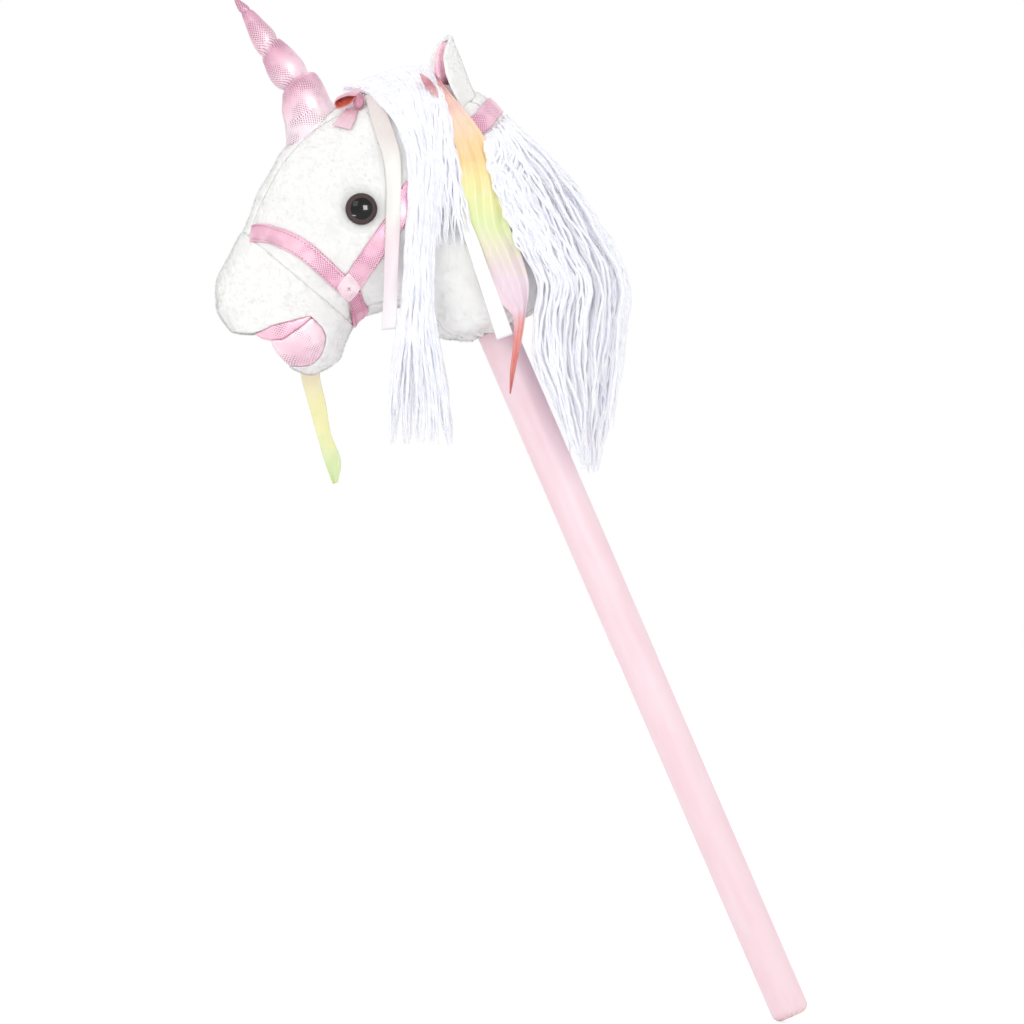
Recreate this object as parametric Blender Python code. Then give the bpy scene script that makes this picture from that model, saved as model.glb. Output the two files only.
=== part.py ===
"""Hobby horse: a stuffed unicorn head on a painted wooden pole, posed as it is ridden.

Metres, +Z up. The horse looks along -X, its left side is -Y, and the origin is the middle
of the rider's grip, on the axis of the pole. Every piece is modelled in the upright frame of
the pole, where Z runs up the pole and the horse looks along -X, and hangs from one empty
that leans the whole toy back by POLE_LEAN.
"""

import math

import bmesh
import bpy
import numpy as np
from mathutils import Matrix, Vector

# The pole
POLE_LEAN = 23.4  # degrees from upright
POLE_DIAMETER = 0.030
POLE_BELOW_GRIP = 0.490
POLE_ABOVE_GRIP = 0.245
POLE_FOOT_ROUNDING = 0.007
POLE_TOP_CHAMFER = 0.001

# What holds the head on the pole
STOP_DISC_DIAMETER = 0.050
STOP_DISC_THICKNESS = 0.006
STOP_DISC_CHAMFER = 0.001
SCREW_HEAD_DIAMETER = 0.009
SCREW_HEAD_HEIGHT = 0.0025
SCREW_SHANK_DIAMETER = 0.003
SCREW_LENGTH = 0.030
LINER_WALL = 0.0012
NECK_HEM_HEIGHT = 0.0930
NECK_TIE_DIAMETER = 0.003
NECK_TIE_RISE = 0.012

# Cloth and filling
GAP = 0.0003
SKIN_THICKNESS = 0.0025
GUSSET_ANGLE = 24.0  # degrees each side of the crest or the throat, round a section
SECTION_SQUARENESS = 0.90

# Head and neck: each row is one cross-section from the lips to the hem, as crown x, crown z,
# throat x, throat z and half width. The first row is the point where the lips close.
HEAD_SECTIONS = (
    (-0.1771, 0.1506, -0.1771, 0.1506, 0.0000),
    (-0.1831, 0.1642, -0.1669, 0.1406, 0.0240),
    (-0.1897, 0.1764, -0.1583, 0.1310, 0.0360),
    (-0.1933, 0.1916, -0.1452, 0.1181, 0.0420),
    (-0.1895, 0.2044, -0.1237, 0.1207, 0.0450),
    (-0.1818, 0.2163, -0.1144, 0.1285, 0.0460),
    (-0.1678, 0.2290, -0.1063, 0.1353, 0.0460),
    (-0.1503, 0.2418, -0.0997, 0.1409, 0.0450),
    (-0.1394, 0.2533, -0.0941, 0.1440, 0.0470),
    (-0.1281, 0.2637, -0.0887, 0.1446, 0.0500),
    (-0.1097, 0.2787, -0.0801, 0.1430, 0.0530),
    (-0.0891, 0.2910, -0.0707, 0.1411, 0.0550),
    (-0.0613, 0.3002, -0.0623, 0.1387, 0.0550),
    (-0.0331, 0.3025, -0.0560, 0.1339, 0.0540),
    (-0.0002, 0.3001, -0.0514, 0.1268, 0.0520),
    (0.0302, 0.2916, -0.0485, 0.1196, 0.0500),
    (0.0532, 0.2761, -0.0462, 0.1152, 0.0480),
    (0.0690, 0.2557, -0.0450, 0.1121, 0.0470),
    (0.0743, 0.2228, -0.0443, 0.1097, 0.0470),
    (0.0740, 0.1847, -0.0437, 0.1073, 0.0470),
    (0.0678, 0.1449, -0.0414, 0.1046, 0.0460),
    (0.0583, 0.1150, -0.0376, 0.1017, 0.0450),
    (0.0486, 0.1005, -0.0320, 0.0988, 0.0400),
)
GATHER_WIDTH = 0.030  # half width of the last full section, where the hem gathers in
NOSE_SEAM = 7.0  # the section where the muzzle piece is sewn on
NECK_SEAM = 15.0  # the section that parts the filling of the head from that of the neck
MUZZLE_STEPS = 8
HEAD_STEPS = 8
NECK_STEPS = 8
GUSSET_CELLS = 4
SIDE_CELLS = 9

# Mouth, as seen from the side, each line from the front to the corner of the mouth
LIP_CREASE = ((-0.1640, 0.1551), (-0.1544, 0.1518), (-0.1423, 0.1542), (-0.1339, 0.1561),
              (-0.1274, 0.1585))
MOUTH_TOP = ((-0.1660, 0.1645), (-0.1580, 0.1652), (-0.1414, 0.1623), (-0.1280, 0.1605))
MOUTH_BOTTOM = ((-0.1588, 0.1318), (-0.1506, 0.1274), (-0.1422, 0.1251), (-0.1340, 0.1283),
                (-0.1284, 0.1329), (-0.1237, 0.1402), (-0.1231, 0.1476))
ROOF_FRONT = ((-0.1735, 0.1647), (-0.1699, 0.1593))
LIP_FRONT = ((-0.1641, 0.1501), (-0.1635, 0.1447), (-0.1617, 0.1388))
MUZZLE_FRONT = ((-0.1650, 0.1275), (-0.1832, 0.1286), (-0.1976, 0.1620), (-0.1879, 0.1727),
                (-0.1810, 0.1689), (-0.1740, 0.1655))
MOUTH_ROOF_RECESS = 0.0012
LOWER_LIP_BULGE = 0.0008
MOUTH_CLEARANCE = 0.0004

# Eyes
EYE_PLACE = (-0.0585, 0.2204)
EYE_DIAMETER = 0.025
EYE_HEIGHT = 0.009
EYE_EDGE = 0.0012
EYE_SHANK_DIAMETER = 0.005
EYE_SHANK_LENGTH = 0.013
EYE_WASHER_DIAMETER = 0.018
EYE_WASHER_THICKNESS = 0.0015

# Horn: its root sits on the crest, and it rises nearly along the pole
HORN_SECTION = 11.72
HORN_ROOT_DEPTH = 0.0085
HORN_SPINE = ((0.0, 0.0), (0.023, 0.0030), (0.040, 0.0040), (0.073, -0.0045),
              (0.107, -0.0100), (0.122, -0.0145))  # height, and how far back the middle lies
HORN_PROFILE = ((0.008, 0.0215), (0.018, 0.0195), (0.028, 0.0178), (0.035, 0.0152),
                (0.0398, 0.0104), (0.0412, 0.0104), (0.045, 0.0122), (0.053, 0.0134),
                (0.062, 0.0121), (0.069, 0.0104), (0.0728, 0.0084), (0.0742, 0.0084),
                (0.079, 0.0092), (0.086, 0.0091), (0.096, 0.0072), (0.104, 0.0056),
                (0.1068, 0.0043), (0.1082, 0.0043), (0.113, 0.0040), (0.119, 0.0020))
HORN_TIP_HEIGHT = 0.1215
HORN_BASE_RADIUS = 0.0245
HORN_FILLING_PROFILE = ((0.010, 0.0185), (0.028, 0.0145), (0.040, 0.0088), (0.073, 0.0068),
                        (0.104, 0.0030))
HORN_THREAD_HEIGHTS = (0.0405, 0.0735, 0.1075)
HORN_THREAD_SLANTS = (14.0, 29.0, 3.0)  # degrees
HORN_THREAD_DIAMETER = 0.0008
HORN_SIDES = 18

# Ears
EAR_SECTION = 15.9
EAR_ANGLE = 14.0  # degrees round the section from the crest to the middle of the ear
EAR_HEIGHT = 0.0425
EAR_HALF_WIDTH = 0.0270  # half the leaf, laid flat, where it is widest
EAR_ROOT_HALF_WIDTH = 0.0200
EAR_WIDEST = 0.36
EAR_FOLD_HEIGHT = 0.015
EAR_CURL_RADIUS = 0.0080
EAR_TIP_CURL_RADIUS = 0.0100
EAR_BEND = 70.0  # degrees that the leaf turns on each side before it runs straight
EAR_THICKNESS = 0.0026
EAR_LINING_THICKNESS = 0.0010
EAR_LINING_BORDER = 0.0026
EAR_LEAN = 2.0  # degrees back from the pole's direction
EAR_SPLAY = 6.0  # degrees out to the side
EAR_TURN = 26.0  # degrees that the open side turns out from straight ahead

# Bridle
STRAP_THICKNESS = 0.0012
STRAP_LIFT = 0.0008
NOSEBAND_WIDTH = 0.0140
HEADSTALL_WIDTH = 0.0160
CHIN_STRAP_WIDTH = 0.0120
NOSEBAND_PATH = ((-0.1437, 0.2372), (-0.1310, 0.2305), (-0.1178, 0.2160),
                 (-0.1082, 0.1994), (-0.0985, 0.1780), (-0.0945, 0.1680))
HEADSTALL_PATH = ((-0.0800, 0.1752), (-0.0640, 0.1850), (-0.0430, 0.1980),
                  (-0.0230, 0.2140), (0.0080, 0.2290), (0.0390, 0.2420), (0.0580, 0.2480))
HEADSTALL_CREST_SECTION = 17.05
CHIN_STRAP_START = (-0.0905, 0.1570)
CHIN_STRAP_SECTION = 8.3
PATCH_PLACE = (-0.0915, 0.1690)
PATCH_HALF_LENGTH = 0.0125
PATCH_HALF_WIDTH = 0.0090
PATCH_THICKNESS = 0.0010

# Mane and forelock: a lock's rows are its front and back edges, top to bottom
YARN_LIFT = 0.0030
ROLL_SECTIONS = (13.82, 14.72)
ROLL_ANGLE = 40.0
ROLL_HEIGHT = 0.013
NEAR_LOCK = (
    (-0.0100, 0.2754, 0.0187, 0.2690), (-0.0111, 0.2513, 0.0110, 0.2434),
    (-0.0178, 0.2202, -0.0006, 0.2127), (-0.0324, 0.1883, -0.0138, 0.1802),
    (-0.0492, 0.1573, -0.0263, 0.1474), (-0.0659, 0.1305, -0.0373, 0.1181),
    (-0.0833, 0.1040, -0.0468, 0.0882), (-0.0993, 0.0770, -0.0542, 0.0574),
    (-0.1101, 0.0519, -0.0622, 0.0252),
)
SHORT_LOCK = (
    (0.0201, 0.2684, 0.0262, 0.2586), (0.0131, 0.2425, 0.0207, 0.2353),
    (0.0023, 0.2115, 0.0132, 0.2045), (-0.0078, 0.1861, 0.0084, 0.1774),
    (-0.0193, 0.1596, 0.0050, 0.1577),
)
LOCK_DEPTH = 0.012
SHORT_LOCK_DEPTH = 0.007
MANE_TAPE_SECTIONS = (17.4, 20.8)
MANE_TAPE_WIDTH = 0.012
MANE_TAPE_THICKNESS = 0.0020
MANE = (
    (0.0558, 0.2291, 0.0815, 0.2452), (0.0544, 0.2102, 0.0865, 0.2175),
    (0.0524, 0.1898, 0.0960, 0.1964), (0.0481, 0.1662, 0.1019, 0.1667),
    (0.0453, 0.1419, 0.1072, 0.1338), (0.0423, 0.1194, 0.1117, 0.1089),
    (0.0367, 0.0946, 0.1074, 0.0793), (0.0280, 0.0686, 0.0853, 0.0498),
    (0.0206, 0.0378, 0.0664, 0.0180), (0.0199, 0.0126, 0.0528, -0.0016),
    (0.0190, -0.0081, 0.0411, -0.0110), (0.0192, -0.0266, 0.0219, -0.0418),
)
MANE_DEPTH = 0.018

# Ribbons: rows as for the locks
RIBBON_THICKNESS = 0.0008
RIBBON_LIFT = 0.0024
SEWN_LIFT = 0.0005
WHITE_RIBBON_LIFT = 0.0036
TAIL_HINGE_LIFT = 0.0034  # between the rainbow ribbon and the white one, so both swing clear
CHEEK_RIBBON = (
    (-0.0230, 0.2887, -0.0113, 0.2862), (-0.0288, 0.2674, -0.0157, 0.2643),
    (-0.0336, 0.2483, -0.0200, 0.2424), (-0.0409, 0.2217, -0.0295, 0.2167),
    (-0.0588, 0.1784, -0.0480, 0.1738), (-0.0726, 0.1504, -0.0619, 0.1458),
    (-0.0840, 0.1299, -0.0743, 0.1248),
)
RAINBOW_RIBBON = (
    (0.0272, 0.2765, 0.0388, 0.2760), (0.0261, 0.2607, 0.0408, 0.2611),
    (0.0216, 0.2286, 0.0432, 0.2235), (0.0142, 0.1978, 0.0381, 0.1901),
    (0.0098, 0.1700, 0.0337, 0.1622), (0.0077, 0.1470, 0.0317, 0.1392),
)
RAINBOW_TAIL = (
    (0.0077, 0.1454, 0.0315, 0.1376), (0.0054, 0.1166, 0.0300, 0.1086),
    (0.0054, 0.0988, 0.0288, 0.0980), (0.0150, 0.0896, 0.0226, 0.0896),
    (0.0049, 0.0701, 0.0095, 0.0690), (-0.0068, 0.0471, -0.0054, 0.0465),
)
WHITE_RIBBON = (
    (0.0029, 0.1464, 0.0142, 0.1427), (-0.0004, 0.1149, 0.0117, 0.1114),
    (-0.0029, 0.0837, 0.0076, 0.0843),
)
FAR_RIBBON = (
    (-0.0434, 0.2925, -0.0321, 0.2892), (-0.0650, 0.2661, -0.0529, 0.2608),
    (-0.0929, 0.2272, -0.0800, 0.2216), (-0.1232, 0.1808, -0.1103, 0.1752),
    (-0.1437, 0.1472, -0.1294, 0.1410), (-0.1538, 0.1218, -0.1402, 0.1159),
    (-0.1574, 0.0979, -0.1446, 0.0940), (-0.1609, 0.0739, -0.1503, 0.0710),
    (-0.1636, 0.0521, -0.1515, 0.0486), (-0.1647, 0.0339, -0.1605, 0.0337),
)
BOW_TAIL = ((-0.0378, 0.2977, -0.0305, 0.2928), (-0.0466, 0.2930, -0.0361, 0.2859),
            (-0.0538, 0.2901, -0.0417, 0.2807))
BOW_SECTION = 13.0
BOW_ANGLE = 14.0
BOW_LENGTH = 0.028
BOW_RISE = 0.013
BOW_WIDTH = 0.011

# Colours of the pieces, as red, green and blue on the sRGB scale from 0 to 1
PINK_PAINT = (0.96, 0.82, 0.86)
PALE_WOOD = (0.80, 0.66, 0.48)
STEEL = (0.62, 0.62, 0.64)
PLUSH_WHITE = (0.94, 0.94, 0.93)
LINER_WHITE = (0.85, 0.84, 0.80)
FILLING_WHITE = (0.92, 0.92, 0.92)
FOIL_PINK = (0.91, 0.67, 0.77)
PALE_FOIL = (0.97, 0.80, 0.88)
EYE_BROWN = (0.09, 0.06, 0.06)
WASHER_WHITE = (0.88, 0.88, 0.86)
YARN_WHITE = (0.92, 0.92, 0.97)
TIE_WHITE = (0.90, 0.90, 0.88)
RIBBON_CREAM = (0.97, 0.93, 0.92)
RIBBON_YELLOW = (0.97, 0.90, 0.66)
RIBBON_SALMON = (0.96, 0.72, 0.70)
RIBBON_LIME = (0.90, 0.95, 0.66)
RIBBON_RED = (0.82, 0.36, 0.33)


def clear_scene():
    for obj in list(bpy.data.objects):
        bpy.data.objects.remove(obj, do_unlink=True)


def make_frame():
    """The empty that leans everything: its Z axis is the axis of the pole."""
    frame = bpy.data.objects.new("horse_frame", None)
    frame.rotation_euler = (0.0, -math.radians(POLE_LEAN), 0.0)
    bpy.context.scene.collection.objects.link(frame)
    return frame


def mesh_from(name, points, faces):
    """A mesh of these points and faces, with points that coincide joined and faces outward."""
    mesh = bpy.data.meshes.new(name)
    mesh.from_pydata([tuple(point) for point in points], [], [tuple(face) for face in faces])
    work = bmesh.new()
    work.from_mesh(mesh)
    bmesh.ops.remove_doubles(work, verts=work.verts, dist=WELD)
    bmesh.ops.recalc_face_normals(work, faces=work.faces)
    work.to_mesh(mesh)
    work.free()
    return mesh


def add_piece(name, points, faces, finish, pivot=(0.0, 0.0, 0.0)):
    """One named piece in the pole's frame, its origin at the pivot that it turns about."""
    pivot = np.asarray(pivot, float)
    mesh = mesh_from(name, np.asarray(points, float) - pivot, faces)
    mesh.shade_smooth()
    mesh.set_sharp_from_angle(angle=math.radians(SMOOTH_ANGLE))
    obj = bpy.data.objects.new(name, mesh)
    obj.parent = FRAME
    obj.location = pivot
    bpy.context.scene.collection.objects.link(obj)
    colour, roughness, metallic = finish
    material = bpy.data.materials.new(name + "_finish")
    material.use_nodes = True
    shader = material.node_tree.nodes["Principled BSDF"]
    shader.inputs["Base Color"].default_value = (*[level**2.2 for level in colour], 1.0)
    shader.inputs["Roughness"].default_value = roughness
    shader.inputs["Metallic"].default_value = metallic
    mesh.materials.append(material)
    return obj


def add_cutter(name, points, faces):
    """A helper that shapes another piece and is no piece itself."""
    obj = add_piece(name, points, faces, (PLUSH_WHITE, 1.0, 0.0))
    obj.hide_render = True
    obj.display_type = "WIRE"
    return obj


def cut(obj, cutter, operation="DIFFERENCE"):
    modifier = obj.modifiers.new(cutter.name, "BOOLEAN")
    modifier.object = cutter
    modifier.operation = operation
    modifier.solver = "EXACT"


def grid_faces(rows, columns, start=0, closed=False):
    """Quads between the points of a grid stored row by row."""
    faces = []
    for row in range(rows - 1):
        for column in range(columns if closed else columns - 1):
            after = (column + 1) % columns
            low, high = start + row * columns, start + (row + 1) * columns
            faces.append((low + column, low + after, high + after, high + column))
    return faces


def wall_between(outer, inner, closed=False):
    """Points and faces of a wall whose two sides are grids of the same size."""
    rows, columns = outer.shape[:2]
    count = rows * columns
    faces = grid_faces(rows, columns) if not closed else grid_faces(rows, columns, 0, True)
    faces += [tuple(reversed(face)) for face in grid_faces(rows, columns, count, closed)]
    for row in (0, rows - 1):
        for column in range(columns if closed else columns - 1):
            here = row * columns + column
            after = row * columns + (column + 1) % columns
            faces.append((here, after, count + after, count + here))
    if not closed:
        for column in (0, columns - 1):
            for row in range(rows - 1):
                here = row * columns + column
                after = here + columns
                faces.append((here, after, count + after, count + here))
    return np.concatenate([outer.reshape(-1, 3), inner.reshape(-1, 3)]), faces


def closed_rings(rings):
    """Points and faces of a solid through these rings, its two ends closed by fans."""
    count, sides = rings.shape[:2]
    points = np.concatenate([rings.reshape(-1, 3), rings[:1].mean(axis=1), rings[-1:].mean(axis=1)])
    faces = grid_faces(count, sides, 0, True)
    first, last = count * sides, count * sides + 1
    for side in range(sides):
        after = (side + 1) % sides
        faces.append((first, after, side))
        faces.append((last, (count - 1) * sides + side, (count - 1) * sides + after))
    return points, faces


def turned(profile, sides, centre=(0, 0, 0), axis=(0, 0, 1)):
    """A solid turned from (radius, height) points, its ends closed, on a given axis."""
    profile = np.asarray(profile, float)
    angles = np.arange(sides) * 2 * math.pi / sides
    ring = np.stack([np.cos(angles), np.sin(angles)], axis=1)
    rings = np.empty((len(profile), sides, 3))
    rings[:, :, :2] = profile[:, None, :1] * ring[None]
    rings[:, :, 2] = profile[:, 1:]
    turn = Vector((0, 0, 1)).rotation_difference(Vector(axis)).to_matrix()
    rings = rings @ np.array(turn).T + np.asarray(centre, float)
    return closed_rings(rings)


def turned_ring(profile, sides, centre=(0, 0, 0), axis=(0, 0, 1)):
    """A ring turned from a closed (radius, height) outline that stays off the axis."""
    profile = np.asarray(profile, float)
    angles = np.arange(sides) * 2 * math.pi / sides
    ring = np.stack([np.cos(angles), np.sin(angles)], axis=1)
    points = np.empty((sides, len(profile), 3))
    points[:, :, :2] = profile[None, :, :1] * ring[:, None]
    points[:, :, 2] = profile[None, :, 1]
    turn = Vector((0, 0, 1)).rotation_difference(Vector(axis)).to_matrix()
    points = points @ np.array(turn).T + np.asarray(centre, float)
    count = len(profile)
    faces = []
    for side in range(sides):
        ahead = (side + 1) % sides
        for here in range(count):
            after = (here + 1) % count
            faces.append((side * count + here, side * count + after,
                          ahead * count + after, ahead * count + here))
    return points.reshape(-1, 3), faces


def smooth_rows(rows, where):
    """Points of a Catmull-Rom curve through the rows, at positions counted in rows."""
    rows = np.asarray(rows, float)
    padded = np.concatenate([2 * rows[:1] - rows[1:2], rows, 2 * rows[-1:] - rows[-2:-1]])
    where = np.clip(np.asarray(where, float), 0, len(rows) - 1)
    step = np.minimum(where.astype(int), len(rows) - 2)
    part = (where - step)[..., None]
    a, b, c, d = (padded[step + shift] for shift in range(4))
    return b + 0.5 * part * (
        c - a + part * (2 * a - 5 * b + 4 * c - d + part * (3 * (b - c) + d - a))
    )


def head_rows():
    """The sections as an array, with the last one gathered close round the pole's liner."""
    rows = [list(row) for row in HEAD_SECTIONS]
    hem = LINER_RADIUS + GAP + SKIN_THICKNESS
    rows.append([(rows[-1][0] + hem) / 2 + 0.003, NECK_HEM_HEIGHT + 0.003,
                 (rows[-1][2] - hem) / 2 - 0.002, NECK_HEM_HEIGHT + 0.0035, GATHER_WIDTH])
    rows.append([hem, NECK_HEM_HEIGHT, -hem, NECK_HEM_HEIGHT, hem])
    return np.array(rows)


def section(where):
    """Middle, half-height direction and half width of the sections at these positions."""
    rows = smooth_rows(ROWS, where)
    crown, throat = rows[..., 0:2], rows[..., 2:4]
    return (crown + throat) / 2, (crown - throat) / 2, rows[..., 4]


def skin_point(where, angle):
    """Points of the plush surface: section position, and angle from the crest, left positive.

    Round a section the surface is a squared ellipse: the cosine of the angle, raised to
    SECTION_SQUARENESS with its sign kept, runs from crown to throat, and the sine out sideways.
    """
    middle, half, width = section(where)
    angle = np.asarray(angle, float)
    up = np.sign(np.cos(angle)) * np.abs(np.cos(angle)) ** SECTION_SQUARENESS
    out = np.sign(np.sin(angle)) * np.abs(np.sin(angle)) ** SECTION_SQUARENESS
    flat = middle + half * up[..., None]
    return np.stack([flat[..., 0], -width * out, flat[..., 1]], axis=-1)


def skin_normal(where, angle):
    """Outward direction of the plush surface, from the difference of near points."""
    where = np.clip(np.asarray(where, float), 0.02, LAST_ROW - 0.002)
    angle = np.asarray(angle, float)
    along = skin_point(where + 0.02, angle) - skin_point(where - 0.02, angle)
    nudge = math.radians(1.5)
    around = skin_point(where, angle + nudge) - skin_point(where, angle - nudge)
    normal = np.cross(around, along)
    normal /= np.maximum(np.linalg.norm(normal, axis=-1, keepdims=True), 1e-12)
    middle = section(where)[0]
    inside = np.stack([middle[..., 0], np.zeros_like(middle[..., 0]), middle[..., 1]], axis=-1)
    outward = ((skin_point(where, angle) - inside) * normal).sum(axis=-1, keepdims=True)
    return normal * np.where(outward < 0, -1.0, 1.0)


def skin(where, angle, lift=0.0):
    """Points at a height above the plush surface."""
    where, angle = np.broadcast_arrays(np.asarray(where, float), np.asarray(angle, float))
    return skin_point(where, angle) + skin_normal(where, angle) * lift


def find_section(x, z):
    """Section position and height share, from -1 at the throat to 1 at the crown, by side view."""
    stations = np.linspace(0.05, LAST_ROW, 700)
    middle, half, _ = section(stations)
    offset = np.stack([x, z], axis=-1)[..., None, :] - middle
    side = half[:, 0] * offset[..., 1] - half[:, 1] * offset[..., 0]
    share = (offset * half).sum(axis=-1) / np.maximum((half * half).sum(axis=-1), 1e-12)
    crossing = np.sign(side[..., 1:]) != np.sign(side[..., :-1])
    nearest = np.where(crossing, np.abs(share[..., 1:]), 99.0).argmin(axis=-1)
    first = np.take_along_axis(side, nearest[..., None], -1)[..., 0]
    second = np.take_along_axis(side, nearest[..., None] + 1, -1)[..., 0]
    part = first / np.where(first == second, 1.0, first - second)
    found = stations[nearest] + part * (stations[1] - stations[0])
    seen = crossing.any(axis=-1)
    middle, half, _ = section(found)
    offset = np.stack([x, z], axis=-1) - middle
    share = (offset * half).sum(axis=-1) / np.maximum((half * half).sum(axis=-1), 1e-12)
    return found, np.where(seen, share, 9.0)


def half_width_at(x, z, grow=0.0):
    """Half width of the head, grown all round, where the side view shows (x, z); 0 outside."""
    where, share = find_section(np.asarray(x, float), np.asarray(z, float))
    _, half, width = section(where)
    height = np.linalg.norm(half, axis=-1)
    share = np.abs(share) * height / (height + grow)
    power = 2 / SECTION_SQUARENESS
    return (width + grow) * np.maximum(1 - np.minimum(share, 1.0) ** power, 0) ** (1 / power)


def side_angle(x, z):
    """Section position and angle of the left side's surface, where the side view shows (x, z)."""
    where, share = find_section(np.asarray(x, float), np.asarray(z, float))
    share = np.clip(share, -1, 1)
    cosine = np.sign(share) * np.abs(share) ** (1 / SECTION_SQUARENESS)
    return where, np.arccos(cosine)


def drop_onto_head(points, direction, clearance):
    """Each point moved along the direction until it stands that clear of the plush."""
    steps = np.linspace(0.0, 0.045, 451)
    paths = points[:, None, :] + steps[None, :, None] * np.asarray(direction, float)
    room = np.abs(paths[..., 1]) - half_width_at(paths[..., 0], paths[..., 2], clearance)
    inside = room < 0
    stop = np.where(inside.any(axis=1), inside.argmax(axis=1) - 1, 0)
    return paths[np.arange(len(points)), np.maximum(stop, 0)]


def panel_stations():
    """Section positions and angles that every cloth panel and filling shares."""
    muzzle = np.linspace(0.0, 1.0, MUZZLE_STEPS + 1) ** 1.15 * NOSE_SEAM
    head = np.linspace(NOSE_SEAM, NECK_SEAM, HEAD_STEPS + 1)
    neck = np.linspace(NECK_SEAM, LAST_ROW, NECK_STEPS + 1)
    gusset = math.radians(GUSSET_ANGLE)
    crest = np.linspace(-gusset, gusset, GUSSET_CELLS + 1)
    left = np.linspace(gusset, math.pi - gusset, SIDE_CELLS + 1)
    throat = np.linspace(math.pi - gusset, math.pi + gusset, GUSSET_CELLS + 1)
    right = np.linspace(math.pi + gusset, 2 * math.pi - gusset, SIDE_CELLS + 1)
    return muzzle, head, neck, (crest, left, throat, right)


def section_push(where, distance):
    """A step of this length along the axis of the head, square to one section."""
    middle = section(np.array([where - 0.05, where + 0.05]))[0]
    step = middle[1] - middle[0]
    step /= np.linalg.norm(step)
    return np.array([step[0], 0.0, step[1]]) * distance


def add_skins():
    """The plush cover: a muzzle cup, two sides, a forehead gusset and a throat gusset."""
    muzzle, head, neck, around = panel_stations()
    whole = np.concatenate([part[:-1] for part in around])
    plush = (PLUSH_WHITE, 0.95, 0.0)

    sides = [skin(muzzle[1:, None], whole[None, :], -depth) for depth in (0.0, SKIN_THICKNESS)]
    tips = [skin(np.array([0.0]), np.array([math.pi / 2]), 0.0)[0],
            skin(np.array([0.0]), np.array([math.pi / 2]), 0.0)[0]]
    inward = np.append(section(np.array([0.6]))[0][0], 0.0)[[0, 2, 1]] - tips[0]
    tips[1] = tips[0] + inward / np.linalg.norm(inward) * SKIN_THICKNESS
    for side in sides:
        side[-1] -= section_push(NOSE_SEAM, GAP / 2)
    columns = len(whole)
    points, faces = wall_between(*sides, closed=True)
    faces = [face for face in faces if not all(
        corner % (len(muzzle[1:]) * columns) < columns for corner in face)]
    start = len(points)
    points = np.concatenate([points, tips])
    inner = (len(muzzle) - 1) * columns
    for column in range(columns):
        after = (column + 1) % columns
        faces.append((start, column, after))
        faces.append((start + 1, inner + after, inner + column))
    muzzle_skin = add_piece("skin_muzzle", points, faces, plush)

    along = np.concatenate([head, neck[1:]])
    names = ("skin_forehead_gusset", "skin_left_side", "skin_throat_gusset", "skin_right_side")
    panels = {}
    for name, angles in zip(names, around):
        layers = []
        for depth in (0.0, SKIN_THICKNESS):
            grid = skin(along[:, None], angles[None, :], -depth)
            grid[0] += section_push(NOSE_SEAM, GAP / 2)
            for edge, inner_edge in ((0, 1), (-1, -2)):
                step = grid[:, inner_edge] - grid[:, edge]
                step /= np.linalg.norm(step, axis=-1, keepdims=True)
                grid[:, edge] += step * GAP / 2
            layers.append(grid)
        panels[name] = add_piece(name, *wall_between(*layers), plush)
    return muzzle_skin, panels


def add_fillings():
    """Polyester filling of the muzzle, the head and the neck, bored for the pole's liner."""
    muzzle, head, neck, around = panel_stations()
    whole = np.concatenate([part[:-1] for part in around])
    depth = SKIN_THICKNESS + 3 * GAP
    stuffing = (FILLING_WHITE, 1.0, 0.0)
    pieces = []
    neck_end = neck[-1] - 1.1
    neck = np.append(neck[neck < neck_end], neck_end)
    for name, along in (("filling_muzzle", muzzle[1:]), ("filling_head", head),
                        ("filling_neck", neck)):
        rings = skin(along[:, None], whole[None, :], -depth)
        if name != "filling_muzzle":
            rings[0] += section_push(along[0], GAP)
        if name != "filling_neck":
            rings[-1] -= section_push(along[-1], GAP)
        pieces.append(add_piece(name, *closed_rings(rings), stuffing))
    return pieces


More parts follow.
